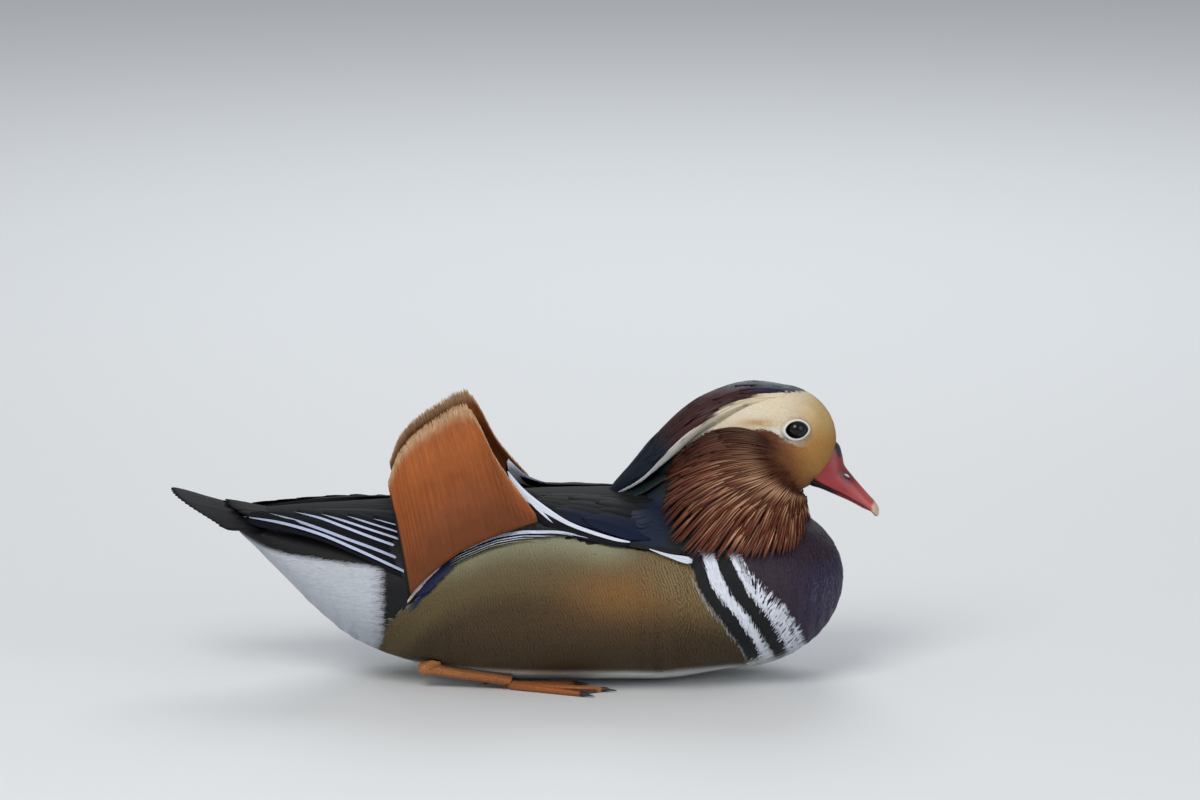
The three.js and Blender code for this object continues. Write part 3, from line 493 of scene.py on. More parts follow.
def plumage(points, ring=True):
    # tint, how far the flank's fine bars show, and how glossy the feather is
    x, side, z = points[:, 0], np.abs(points[:, 1]), points[:, 2]
    h = z - seenSlope * side
    state = {"tint": np.tile(tint["belly"], (len(x), 1)), "barred": np.zeros(len(x)),
             "gloss": np.zeros(len(x))}

    def paint(name, mask, gloss=0.0, barred=0.0):
        state["tint"] += (tint[name] - state["tint"]) * mask[:, None]
        state["gloss"] += (gloss - state["gloss"]) * mask
        state["barred"] += (barred - state["barred"]) * mask

    # flank panel
    depth = flankTop(x) - h
    behind = x - flankRear(h)
    low = smoothStep(7, 12, z)
    bars = [edge(h) for edge in barEdges]
    flank = low * smoothStep(-1.5, -0.5, behind) * (1 - smoothStep(0.5, 1.5, x - bars[0]))
    paint("flankOlive", flank, barred=0.32)
    paint("flankGrey", flank * np.exp(-((depth / 10) ** 2)) * band(x, -34, 52, 14), barred=0.2)
    paint("flankBrown", flank * smoothStep(20, 36, depth) * 0.8, barred=0.7)
    paint("flankOrange", flank * blob(x, h, (50, 38), (26, 12)) * 0.9, barred=0.4)
    paint("flankBuff", flank * smoothStep(48, 74, x) * (1 - smoothStep(12, 26, depth)) * 0.8, barred=1)
    paint("undertail", flank * band(x - bars[0], -1.3, -0.2, 0.3) * smoothStep(52, 40, h) * 0.4)
    patch = flank * band(depth, -1, mix(2.0, 7.5, smoothStep(-31, -38, x)), 0.5) * band(x, -50, -33, 1)
    paint("patchBlue", patch, gloss=0.6)
    # over the flank, with the black line along its edge, and the back
    over = smoothStep(-0.2, 0.3, -depth) * smoothStep(-0.5, 0.5, behind) * (1 - smoothStep(-1, 1, x - 80))
    aboveLine = smoothStep(0, 2, -depth - mix(4.5, 1.5, smoothStep(30, 50, x)))
    paint("shoulderBlue", over, gloss=0.2)
    paint("black", over * (1 - aboveLine), gloss=0.3)
    paint("backOlive", smoothStep(74, 79, z) * (x < 100), gloss=0.5)
    # rear
    rear = 1 - smoothStep(-0.5, 0.5, behind)
    paint("undertail", rear * smoothStep(4, 20, z) * 0.8)
    paint("black", rear * smoothStep(-1.4, 1.4, h - undertailTop(x)), gloss=0.3)
    paint("black", rear * smoothStep(-66.8, -62.4, x + 0.5 * np.sin(h * 1.7)) * low, gloss=0.3)
    # bars on the side of the breast
    breast = smoothStep(-0.4, 0.4, x - bars[0]) * (z < 100) * smoothStep(9, 15,
                                                                         z + 3 * np.sin(points[:, 1] * 1.7))
    paint("black", breast, gloss=0.3)
    paint("barWhite", breast * band(x - bars[1], 0, 60, 0.25) * (1 - smoothStep(-0.25, 0.25, x - bars[2])))
    past = breast * smoothStep(-0.25, 0.25, x - bars[3])
    paint("barWhite", past)
    between = [x - mix(bars[3], bars[4], share) for share in (0.55, 0.8)]
    streak = band(between[0], -0.35, 0.35, 0.2) + band(between[1], -0.3, 0.3, 0.2)
    paint("black", past * np.clip(streak, 0, 1) * smoothStep(60, 48, h))
    # breast, with a painted purple sheen on its front and faint painted glints of feather edges low in front
    ragged = 0.9 * np.sin(h * 2.1) + 0.6 * np.sin(h * 5.3 + 1)
    breastFront = breast * smoothStep(-0.3, 0.3, x - bars[4] + ragged)
    paint("breast", breastFront, gloss=0.55)
    paint("breastPurpleSheen", breastFront * smoothStep(118, 142, x) * 0.65, gloss=0.7)
    edgeGlints = smoothStep(0.45, 0.7, np.sin(x * 4.3 + z * 1.3) * np.sin(z * 3.1 - x * 0.6 + side))
    paint("silver", breastFront * edgeGlints * smoothStep(128, 138, x) * band(h, 34, 49, 4) * 0.1, gloss=0.4)
    # neck
    paint("shoulderBlue", over * smoothStep(40, 52, x) * aboveLine, gloss=0.1)
    paint("shoulderBlue", smoothStep(63, 66, z) * band(x, 24, 71, 1) * aboveLine, gloss=0.1)
    upper = smoothStep(57, 62, z) * smoothStep(-2, 2, x - 24)
    paint("neckGreen", upper * smoothStep(76, 83, z - 0.2 * (100 - x) * (x < 100)), gloss=0.6)
    paint("neckGreen", smoothStep(64, 67, z) * band(x, 69, 104, 4), gloss=0.6)
    paint("breast", smoothStep(58, 62, z) * smoothStep(104, 110, x) * (1 - smoothStep(78, 86, z)), gloss=0.5)
    # head: dark below the cream line, with a warm face
    head = smoothStep(84, 88, z - 0.35 * np.clip(84 - x, 0, 40) * (x < 84)) * (x > 58)
    paint("ruffDark", head * (h < creamEdge(x) + 0.01))
    paint("underEye", head * (h < creamEdge(x)) * smoothStep(84, 100, x))
    paint("neckGreen", head * (1 - smoothStep(68, 74, x)), gloss=0.6)
    paint("cheek", head * smoothStep(112, 131, x + 0.12 * (h - 104)) * smoothStep(84, 92, z))
    paint("lores", head * smoothStep(119, 134, x + 0.25 * (h - 108)))
    paint("forehead", head * smoothStep(120, 133, x) * smoothStep(106, 122, h) * 0.85)
    cream = head * smoothStep(-0.3, 0.3, h - creamEdge(x)) * (1 - smoothStep(117, 137, x - 0.35 * (h - 116)))
    cream *= smoothStep(69, 73, x)
    paint("cream", cream)
    paint("creamPale", cream * (1 - smoothStep(76, 98, x)) * 0.9)
    paint("creamPale", cream * blob(x, h, (100, 121), (12, 4)) * 0.4)
    paint("ochre", cream * blob(x, h, (107.5, 117.3), (7, 1.9)) * 0.8)
    # white ring and wedge at the eye
    cheekSide = head * (side > eyeSetup["fromMiddle"])
    eyeH = eyeSetup["z"] - seenSlope * 16.8
    away = np.hypot((x - eyeSetup["x"]) / (eyeSetup["length"] / 2), (h - eyeH) / (eyeSetup["height"] / 2))
    paint("white", cheekSide * (1 - smoothStep(1.2, 1.42, away)) * 0.85 * ring)
    along = np.clip((x - 113.2) / 9.5, 0, 1)
    off = np.abs(h - (114.3 - 3.1 * along))
    paint("creamPale", cheekSide * (1 - smoothStep(0, 1.0, off - 2.2 * along)) * band(x, 113, 123.5, 1.2))
    paint("creamPale", cheekSide * blob(x, h, (124, 108.9), (3.4, 0.9)) * 0.8)
    # bare black skin at the corner of the bill
    paint("black", head * blob(x, h, (134, 89.5), (2.6, 2.6)))
    # crown
    crown = head * smoothStep(-0.25, 0.25, h - crownEdge(x) + 0.5 * np.sin(x * 2.9)) * (x < 137)
    paint("crestGreen", crown, gloss=0.8)
    paint("crestMaroon", crown * smoothStep(78, 88, x), gloss=0.7)
    paint("crownBlue", crown * smoothStep(104, 112, x), gloss=0.8)
    return state["tint"], state["barred"], state["gloss"]


# Shader helpers and the effects that several finishes share


def wire(tree, target, inputs):
    for key, value in inputs.items():
        if isinstance(value, bpy.types.NodeSocket):
            tree.links.new(value, target.inputs[key])
        else:
            target.inputs[key].default_value = value


def node(tree, kind, inputs=(), **settings):
    made = tree.nodes.new(kind)
    for key, value in settings.items():
        setattr(made, key, value)
    wire(tree, made, dict(inputs))
    return made


def calc(tree, operation, *values):
    return node(tree, "ShaderNodeMath", dict(enumerate(values)), operation=operation).outputs[0]


def times(tree, a, b):
    return calc(tree, "MULTIPLY", a, b)


def plus(tree, a, b):
    return calc(tree, "ADD", a, b)


def minus(tree, a, b):
    return calc(tree, "SUBTRACT", a, b)


def blend(tree, share, a, b):
    return node(tree, "ShaderNodeMix", {0: share, 6: a, 7: b}, data_type="RGBA").outputs[2]


def ramp(tree, value, low, high):
    return node(tree, "ShaderNodeMapRange", {0: value, 1: low, 2: high, 3: 0.0, 4: 1.0},
                interpolation_type="SMOOTHSTEP").outputs[0]


def scaled(tree, vector, factor):
    return node(tree, "ShaderNodeVectorMath", {0: vector, 3: factor}, operation="SCALE").outputs[0]


def noise(tree, place, scale, detail):
    return node(tree, "ShaderNodeTexNoise",
                {"Vector": place, "Scale": scale, "Detail": detail}).outputs["Fac"]


def bumped(tree, height, strength, distance):
    return node(tree, "ShaderNodeBump",
                {"Height": height, "Strength": strength, "Distance": distance}).outputs[0]


def objectPlace(tree):
    return node(tree, "ShaderNodeTexCoord").outputs["Object"]


def readAttribute(tree, name, output="Fac"):
    return node(tree, "ShaderNodeAttribute", attribute_name=name).outputs[output]


def shaderGroup(name, ins, outs):
    tree = bpy.data.node_groups.new(name, "ShaderNodeTree")
    for label, kind, value in ins:
        socket = tree.interface.new_socket(label, in_out="INPUT", socket_type=kind)
        if value is not None:
            socket.default_value = value
    for label, kind in outs:
        tree.interface.new_socket(label, in_out="OUTPUT", socket_type=kind)
    return tree, tree.nodes.new("NodeGroupInput").outputs, tree.nodes.new("NodeGroupOutput").inputs


def placeGroup(tree, group, inputs):
    return node(tree, "ShaderNodeGroup", inputs, node_tree=group).outputs


def makeVaneShade():
    # painted shade: darker where Along is low, at a coat vane's root under the vanes that lie over it and in
    # the grooves between a plume's barbs; and a little different from vane to vane
    tree, ins, outs = shaderGroup(
        "vaneShade",
        [("Tint", "NodeSocketColor", None), ("Along", "NodeSocketFloat", 1.0),
         ("Random", "NodeSocketFloat", 0.5),
         ("Shade", "NodeSocketFloat", 0.3), ("Variation", "NodeSocketFloat", 0.2)],
        [("Color", "NodeSocketColor")],
    )
    fall = times(tree, minus(tree, 1.0, ins["Along"]), ins["Shade"])
    spread = times(tree, minus(tree, ins["Random"], 0.5), ins["Variation"])
    light = plus(tree, minus(tree, 1.0, fall), spread)
    tree.links.new(scaled(tree, ins["Tint"], light), outs["Color"])
    return tree


def makeFineBars():
    # the wavy dark lines of a flank feather
    tree, ins, outs = shaderGroup(
        "fineBars",
        [("Vector", "NodeSocketVector", None), ("Pitch", "NodeSocketFloat", 1.1),
         ("Wobble", "NodeSocketFloat", 1.0)],
        [("Mask", "NodeSocketFloat")],
    )
    inMm = scaled(tree, ins["Vector"], 1000.0)
    place = node(tree, "ShaderNodeSeparateXYZ", {0: inMm}).outputs
    push = times(tree, minus(tree, noise(tree, inMm, 0.22, 1.5), 0.5), times(tree, ins["Wobble"], 14.0))
    bent = plus(tree, minus(tree, place[0], times(tree, place[2], -0.35)), push)
    turn = calc(tree, "DIVIDE", times(tree, bent, 2 * math.pi), ins["Pitch"])
    value = ramp(tree, calc(tree, "SINE", turn), -0.35, 0.75)
    breaks = ramp(tree, noise(tree, inMm, 0.9, 1.0), 0.15, 0.5)
    tree.links.new(times(tree, value, breaks), outs["Mask"])
    return tree


def makeBarbs():
    # the slanting barbs on both sides of a feather's shaft, and the shaft itself
    tree, ins, outs = shaderGroup(
        "barbs",
        [("Vector", "NodeSocketVector", None), ("Pitch", "NodeSocketFloat", 1.2),
         ("Slant", "NodeSocketFloat", 3.0), ("Shaft", "NodeSocketFloat", 0.08)],
        [("Height", "NodeSocketFloat"), ("Shaft Mask", "NodeSocketFloat")],
    )
    place = node(tree, "ShaderNodeSeparateXYZ", {0: ins["Vector"]}).outputs
    far = calc(tree, "ABSOLUTE", minus(tree, times(tree, place[1], 2.0), 1.0))
    slanted = minus(tree, times(tree, place[0], 100.0), times(tree, far, ins["Slant"]))
    turn = calc(tree, "DIVIDE", times(tree, slanted, 2 * math.pi), ins["Pitch"])
    shaft = minus(tree, 1.0, ramp(tree, far, times(tree, ins["Shaft"], 0.5), ins["Shaft"]))
    tree.links.new(plus(tree, times(tree, calc(tree, "SINE", turn), 0.5), 0.5), outs["Height"])
    tree.links.new(shaft, outs["Shaft Mask"])
    return tree


vaneShade = makeVaneShade()
fineBars = makeFineBars()
barbs = makeBarbs()


def keepEdgesSharp(mesh, rails):
    # rails: 1 and 2 along the two edges of a vane, 3 at its ends, 0 elsewhere
    a, b = rails[readArray(mesh.edges, "vertices", 2, int)].T
    sharp = ((a == b) & (a > 0)) | ((a == 3) & (b > 0)) | ((b == 3) & (a > 0))
    layer = mesh.attributes.get("sharp_edge") or mesh.attributes.new("sharp_edge", "BOOLEAN", "EDGE")
    layer.data.foreach_set("value", sharp)


def newMaterial(name):
    material = bpy.data.materials.new(name)
    material.use_nodes = True
    return material, material.node_tree, material.node_tree.nodes["Principled BSDF"]


coatLook = {
    "roughness": 0.68, "glossy": 0.45, "coat": 0.15, "coatRoughness": 0.4, "specular": 0.25,
    "barPitch": 1.35, "barWobble": 0.3, "barShare": 0.9, "barShade": 0.28,
}


def coatMaterial(name, shade, variation):
    material, tree, shader = newMaterial(name)
    colour = placeGroup(tree, vaneShade, {
        "Tint": readAttribute(tree, "tint", "Color"), "Along": readAttribute(tree, "along"),
        "Random": readAttribute(tree, "random"), "Shade": shade, "Variation": variation,
    })["Color"]
    lines = placeGroup(tree, fineBars, {
        "Vector": objectPlace(tree), "Pitch": coatLook["barPitch"], "Wobble": coatLook["barWobble"],
    })["Mask"]
    share = times(tree, times(tree, lines, readAttribute(tree, "barred")), coatLook["barShare"])
    gloss = readAttribute(tree, "gloss")
    toGlossy = coatLook["glossy"] - coatLook["roughness"]
    wire(tree, shader, {
        "Base Color": blend(tree, share, colour, scaled(tree, colour, coatLook["barShade"])),
        "Roughness": plus(tree, coatLook["roughness"], times(tree, gloss, toGlossy)),
        "Coat Weight": times(tree, gloss, coatLook["coat"]),
        "Coat Roughness": coatLook["coatRoughness"], "Specular IOR Level": coatLook["specular"],
    })
    return material


def writeLooks(mesh, tints, **values):
    # the tint and any other values, for each point or one for all
    colour = mesh.color_attributes.new("tint", "FLOAT_COLOR", "POINT")
    colour.data.foreach_set("color", np.hstack([tints, np.ones((len(tints), 1))]).ravel())
    for name, value in values.items():
        writeAttribute(mesh, name, np.full(len(tints), value, float))


# Skin

skinPoints = readPoints(skin.data)
skinUp = readNormals(skin.data)
skinQuads = readArray(skin.data.loops, "vertex_index", kind=int).reshape(-1, 4)
skinCentres = skinPoints[skinQuads].mean(1)
skinTint, skinBarred, skinGloss = plumage(skinPoints)
# the skin's tint is darkened: painted shade for the skin that shows between the coat's vanes
writeLooks(skin.data, skinTint * skinSetup["shade"], barred=skinBarred, gloss=skinGloss, along=1.0,
           random=0.5)
skin.data.materials.append(coatMaterial("skinPlumage", shade=0.0, variation=0.0))


# Coat: small vanes spread over the skin by Geometry Nodes


def lieOfCoat(points):
    # the way the feathers point, from bill to tail and down the breast
    x, side, z = points[:, 0], np.abs(points[:, 1]), points[:, 2]
    sign = np.sign(points[:, 1])
    back = np.stack([-np.ones_like(x), 0 * x, -0.1 + 0 * x], 1)
    slope = (flankTop(x + 1) - flankTop(x - 1)) / 2
    depth = flankTop(x) - (z - seenSlope * side)
    nearEdge = np.exp(-((np.maximum(depth, 0) / 22) ** 2)) * (x > -60) * (x < 90) * (side > 20)
    back[:, 2] = mix(-0.1, -np.clip(slope, -0.35, 1.0), nearEdge)
    down = np.stack([0.25 + 0 * x, 0 * x, -np.ones_like(x)], 1)
    breast = unit(np.stack([-0.55 + 0 * x, 0.25 * sign, -0.9 + 0 * x], 1))
    lie = back + (down - back) * (band(x, 74, 112, 7) * smoothStep(18, 34, side) * (z < 64))[:, None]
    lie += (breast - lie) * (smoothStep(96, 122, x) * (z < 90))[:, None]
    lie += (back - lie) * smoothStep(16, 2, z)[:, None]
    neck = unit(np.stack([-0.5 + 0 * x, 0 * x, -0.8 + 0 * x], 1))
    lie += (neck - lie) * (smoothStep(66, 80, z) * (x > 25) * (x < 118))[:, None]
    fromBill = unit(points - np.array([141, 0, 97])) * np.array([1, 1, 0.85]) + np.array([-0.35, 0, 0])
    lie += (fromBill - lie) * (smoothStep(84, 92, z) * (x > 60))[:, None]
    return unit(lie)


def makeVane(name, sections, curl):
    # a thin closed blade, a unit long, wide and thick; a section has its place, half width and half patch
    vertices, faces = [(0, 0, 0)], [(0, 2, 1), (0, 3, 2), (0, 1, 3)]
    patch, rails = [(0, 0.5)], [3]
    for at, half, spread in sections:
        drop = -curl * at * at
        vertices += [(at, half, drop), (at, 0, 1 + drop), (at, -half, drop)]
        patch += [(at, 0.5 + spread), (at, 0.5), (at, 0.5 - spread)]
        rails += [1, 0, 2]
    vertices.append((1, 0, -curl))
    patch.append((1, 0.5))
    rails.append(3)
    for s in range(len(sections) - 1):
        a, b = 1 + 3 * s, 4 + 3 * s
        for i, j in ((0, 1), (1, 2), (2, 0)):
            faces += [(a + i, a + j, b + j), (a + i, b + j, b + i)]
    last, tip = 1 + 3 * (len(sections) - 1), len(vertices) - 1
    faces += [(last, last + 1, tip), (last + 1, last + 2, tip), (last + 2, last, tip)]
    piece = meshPiece(name, vertices, faces)
    writeAttribute(piece.data, "along", [at for at, across in patch])
    return {"piece": piece, "patch": np.array(patch), "rails": rails}


tuft = makeVane("tuftShape", [(0.35, 0.42, 0.4), (0.8, 0.46, 0.5)], 0.8)
vane = makeVane("vaneShape", [(0.3, 0.4, 0.4), (0.68, 0.5, 0.5), (0.92, 0.36, 0.4)], 1.0)


def readNamed(tree, name, kind):
    return node(tree, "GeometryNodeInputNamedAttribute", {"Name": name}, data_type=kind).outputs[0]


def storeNamed(tree, geometry, name, value, kind):
    return node(tree, "GeometryNodeStoreNamedAttribute", {"Geometry": geometry, "Name": name, "Value": value},
                data_type=kind, domain="POINT").outputs[0]


def makeCoatTree():
    tree = bpy.data.node_groups.new("coatOfVanes", "GeometryNodeTree")
    tree.interface.new_socket("Geometry", in_out="INPUT", socket_type="NodeSocketGeometry")
    ids = {}
    for label, kind, value in (
        ("Vane", "NodeSocketObject", None), ("Spacing", "NodeSocketFloat", 0.0013),
        ("Seed", "NodeSocketInt", 1),
        ("Length", "NodeSocketFloat", 0.006), ("Width", "NodeSocketFloat", 0.002),
        ("Thickness", "NodeSocketFloat", 0.00015), ("Lift", "NodeSocketFloat", 0.03),
        ("Turn", "NodeSocketFloat", 0.12), ("Finish", "NodeSocketMaterial", None),
    ):
        socket = tree.interface.new_socket(label, in_out="INPUT", socket_type=kind)
        if value is not None:
            socket.default_value = value
        ids[label] = socket.identifier
    tree.interface.new_socket("Geometry", in_out="OUTPUT", socket_type="NodeSocketGeometry")
    ins = tree.nodes.new("NodeGroupInput").outputs
    out = tree.nodes.new("NodeGroupOutput")
    spacing = ins["Spacing"]
    perArea = calc(tree, "DIVIDE", 3.2, times(tree, spacing, spacing))
    spread = node(tree, "GeometryNodeDistributePointsOnFaces",
                  {"Mesh": ins["Geometry"], "Distance Min": spacing, "Density Max": perArea,
                   "Seed": ins["Seed"]},
                  distribute_method="POISSON").outputs["Points"]
    chance, yaw = (
        node(tree, "FunctionNodeRandomValue", {"Seed": seed}, data_type="FLOAT").outputs[1]
        for seed in (ins["Seed"], plus(tree, ins["Seed"], 7.0))
    )
    withChance = storeNamed(tree, spread, "random", chance, "FLOAT")
    place = node(tree, "GeometryNodeInputPosition").outputs[0]
    withRoot = storeNamed(tree, withChance, "root", place, "FLOAT_VECTOR")
    stand = node(tree, "FunctionNodeAlignRotationToVector",
                 {"Vector": readNamed(tree, "up", "FLOAT_VECTOR")}, axis="Z").outputs[0]
    aimed = node(tree, "FunctionNodeAlignRotationToVector",
                 {"Rotation": stand, "Vector": readNamed(tree, "lie", "FLOAT_VECTOR")},
                 axis="X", pivot_axis="Z").outputs[0]
    turned = times(tree, minus(tree, yaw, 0.5), times(tree, ins["Turn"], 2.0))
    lifted = times(tree, ins["Lift"], plus(tree, -1.3, times(tree, chance, 0.6)))
    tilt = node(tree, "ShaderNodeCombineXYZ", {"Y": lifted, "Z": turned}).outputs[0]
    asTurn = node(tree, "FunctionNodeEulerToRotation", {0: tilt}).outputs[0]
    final = node(tree, "FunctionNodeRotateRotation", {"Rotation": aimed, "Rotate By": asTurn},
                 rotation_space="LOCAL").outputs[0]
    size = times(tree, readNamed(tree, "grow", "FLOAT"), plus(tree, 0.82, times(tree, yaw, 0.36)))
    scale = node(tree, "ShaderNodeCombineXYZ", {
        "X": times(tree, ins["Length"], size), "Y": times(tree, ins["Width"], size), "Z": ins["Thickness"],
    }).outputs[0]
    shape = node(tree, "GeometryNodeObjectInfo", {"Object": ins["Vane"]}, transform_space="ORIGINAL")
    placed = node(tree, "GeometryNodeInstanceOnPoints", {
        "Points": withRoot, "Instance": shape.outputs["Geometry"], "Rotation": final, "Scale": scale,
    }).outputs[0]
    real = node(tree, "GeometryNodeRealizeInstances", {"Geometry": placed}).outputs[0]
    finished = node(tree, "GeometryNodeSetMaterial", {"Geometry": real, "Material": ins["Finish"]}).outputs[0]
    tree.links.new(finished, out.inputs[0])
    return tree, ids


coatTree, coatIds = makeCoatTree()
coatSizes = {
    "head": {"spacing": 0.58, "length": 2.4, "width": 0.76, "thickness": 0.045, "lift": 0.026, "turn": 0.1},
    "neck": {"spacing": 1.0, "length": 5.0, "width": 1.3, "thickness": 0.05, "lift": 0.018, "turn": 0.07},
    "breast": {"spacing": 0.82, "length": 4.8, "width": 0.95, "thickness": 0.04, "lift": 0.016, "turn": 0.06},
    "flank": {"spacing": 0.76, "length": 5.6, "width": 1.02, "thickness": 0.035, "lift": 0.012,
              "turn": 0.045},
    "belly": {"spacing": 1.4, "length": 6.0, "width": 2.2, "thickness": 0.09, "lift": 0.018, "turn": 0.1},
    "rump": {"spacing": 0.8, "length": 5.6, "width": 1.05, "thickness": 0.04, "lift": 0.014, "turn": 0.06},
    "back": {"spacing": 2.3, "length": 9.0, "width": 4.0, "thickness": 0.15, "lift": 0.03, "turn": 0.12},
}
# shade: how far the painted shade darkens each vane's root, where the vanes over it lie
coatSetup = {
    "shade": 0.1, "variation": 0.09, "shortest": 0.42, "overFloor": 0.05, "patch": 0.003,
    "centres": {"head": (96, 0, 108), "neck": (80, 0, 76), "breast": (92, 0, 40)},
}
featherCoat = coatMaterial("bodyPlumage", coatSetup["shade"], coatSetup["variation"])


def unwrapPlace(roots, kind):
    # along the body, by angle from nose to tail on a round part, and round its girth
    centre = coatSetup["centres"].get(kind, (0, 0, 44))
    away = roots - np.array(centre)
    if kind in coatSetup["centres"]:
        far = np.maximum(np.linalg.norm(away, axis=1), 1e-6)
        along = np.arccos(np.clip(away[:, 0] / far, -1, 1)) / math.pi
    else:
        along = (roots[:, 0] + 140) / 290
    around = np.arctan2(away[:, 1], away[:, 2]) / (2 * math.pi) + 0.5
    return np.stack([0.02 + 0.955 * along, 0.02 + 0.955 * around], 1)


def makeCoat(name, kind, chosen, seed, shape=tuft, growth=1.0):
    used, back = np.unique(skinQuads[chosen].ravel(), return_inverse=True)
    points = skinPoints[used]
    lie = lieOfCoat(points)
    # shorter where the vanes would cross from one marking to the next
    here, ahead = (plumage(points + lie * reach)[0] for reach in (0, 4))
    crossing = smoothStep(0.05, 0.3, np.abs(np.sqrt(here) - np.sqrt(ahead)).max(1))
    grow = np.full(len(skinPoints), growth)[used] * mix(1.0, coatSetup["shortest"], crossing)
    piece = meshPiece(name, points * mm, back.reshape(-1, 4))
    writeAttribute(piece.data, "up", skinUp[used], "FLOAT_VECTOR")
    writeAttribute(piece.data, "lie", lie, "FLOAT_VECTOR")
    writeAttribute(piece.data, "grow", grow)
    spec = coatSizes[kind]
    values = {"Vane": shape["piece"], "Seed": seed, "Lift": spec["lift"], "Turn": spec["turn"],
              "Finish": featherCoat}
    for label in ("Spacing", "Length", "Width", "Thickness"):
        values[label] = spec[label.lower()] * mm
    nodes = piece.modifiers.new("coat", "NODES")
    nodes.node_group = coatTree
    for label, value in values.items():
        nodes[coatIds[label]] = value
    applyModifiers(piece)
    mesh = piece.data
    points = readPoints(mesh)
    points[:, 2] = np.maximum(points[:, 2], coatSetup["overFloor"])
    writePoints(mesh, points)
    roots = readArray(mesh.attributes["root"].data, "vector", 3) / mm
    tints, barred, gloss = plumage(roots)
    writeLooks(mesh, tints, barred=barred, gloss=gloss)
    vanes = len(roots) // len(shape["rails"])
    keepEdgesSharp(mesh, np.tile(shape["rails"], vanes))
    for layer in list(mesh.uv_layers):
        mesh.uv_layers.remove(layer)
    writeMap(mesh, "OFBake", unwrapPlace(roots, kind) + np.tile(shape["patch"] * coatSetup["patch"],
                                                                (vanes, 1)))
    for extra in ("root", "up", "lie", "grow"):
        if extra in mesh.attributes:
            mesh.attributes.remove(mesh.attributes[extra])
    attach(piece, "root")
    print(name, "made:", vanes, "vanes")


def makeCoats():
    x, y, z = skinCentres.T
    ahead = skinPoints[:, 0]
    head = (x > 58) & (z > 86)
    eyeX, eyeZ = (x - eyeSetup["x"] - 0.8), (z - eyeSetup["z"])
    toEye = np.hypot(eyeX / (eyeSetup["length"] / 2 + 0.6), eyeZ / (eyeSetup["height"] / 2))
    roundEye = (toEye < 1.3) & (np.abs(y) > eyeSetup["fromMiddle"])
    shortFace = mix(1.15, 0.7, smoothStep(100, 138, ahead))
    shortRump = mix(1.0, 0.35, smoothStep(-112, -122, ahead))
    breast = ~head & (z < 90) & (x > mix(71, 100, z > 66)) & (z > 3)
    flank = (x <= 71) & (x > -62) & (z < 74) & (z > 7)
    makeCoat("coatHead", "head", head & ~roundEye, 3, growth=shortFace)
    makeCoat("coatNeck", "neck", (z > 66) & (x > 18) & (x < 100) & ~head, 5)
    makeCoat("coatBreast", "breast", breast, 7)
    for side in sideNames:
        makeCoat(f"coatFlank_{sideNames[side]}", "flank", flank & (y * side > 14), 11 + side)
    makeCoat("coatBelly", "belly", (x > -66) & (z <= 7.5), 17)
    makeCoat("coatRump", "rump", (x <= -61) & (z > 7), 19, growth=shortRump)
    makeCoat("coatBack", "back", (x <= 60) & (x > -62) & (z >= 72) & (z < 88), 23, shape=vane)


makeCoats()
for shape in (tuft, vane):
    bpy.data.objects.remove(shape["piece"])
print("coat made")


# Large feathers, each a closed blade laid along a path


def newPlumes():
    labels = ("points", "faces", "feather", "cells", "tint", "gloss", "random", "rails")
    return {"count": 0, **{label: [] for label in labels}}


def addSurface(plumes, points, faces, feather, cell, tints, gloss=0.5, chance=0.5, rails=0):
    # feather: places on the barbs' pattern; cell: places in this surface's part of the bake's map
    plumes["faces"] += [tuple(plumes["count"] + i for i in face) for face in faces]
    count = len(points)
    values = {"points": points, "feather": feather, "cells": cell, "tint": tints,
              "gloss": np.full(count, gloss),
              "random": np.full(count, chance), "rails": np.full(count, rails)}
    for label, value in values.items():
        plumes[label].append(value)
    plumes["count"] += count


def addPlume(plumes, path, normals, half, colour, thick=0.35, cup=0.12, gloss=0.5, across=5, turnOut=1,
             chance=0.5):
    # path, normals and half are by section; the across axis is path direction x normal
    path, normals = np.asarray(path, float), unit(np.asarray(normals, float))
    half = np.broadcast_to(half, len(path)).astype(float)[:, None]
    along = unit(np.gradient(path, axis=0))
    aside = unit(np.cross(normals, along)) * turnOut
    up = unit(np.cross(along, aside))[:, None] * turnOut
    share = np.linspace(-1, 1, across)
    flat = 1 - np.abs(share)
    count = len(path)
    top = path[:, None] + aside[:, None] * (half * share)[..., None] - up * (cup * half * share**2)[..., None]
    top += up * (thick * flat * np.minimum(1, half))[..., None]
    under = top[:, 1:-1] - up * (thick * flat[1:-1] * 1.3 + 0.12)[None, :, None]
    ring = np.concatenate([top, under[:, ::-1]], 1)
    size = ring.shape[1]
    faces = []
    for a in range(0, (count - 1) * size, size):
        b = a + size
        for i in range(size):
            j = (i + 1) % size
            faces.append((a + i, a + j, b + j, b + i) if turnOut > 0 else (a + i, b + i, b + j, a + j))
    first, last = tuple(range(size)), tuple(range((count - 1) * size, count * size))
    faces += [first[::-1], last] if turnOut > 0 else [first, last[::-1]]
    length = np.concatenate([[0], np.cumsum(np.linalg.norm(np.diff(path, axis=0), axis=1))])
    v = np.tile(np.concatenate([share, share[1:-1][::-1]]) * 0.5 + 0.5, count)
    feather = np.stack([np.repeat(length / 100, size), v], 1)
    cell = np.stack([np.repeat(length / max(length[-1], 1e-6), size), v], 1)
    tints = np.repeat(np.broadcast_to(np.asarray(colour, float), (count, 3)), size, 0)
    rails = np.zeros(size, int)
    rails[0], rails[across - 1] = 1, 2
    addSurface(plumes, ring.reshape(-1, 3), faces, feather, cell, tints, gloss, chance, np.tile(rails, count))


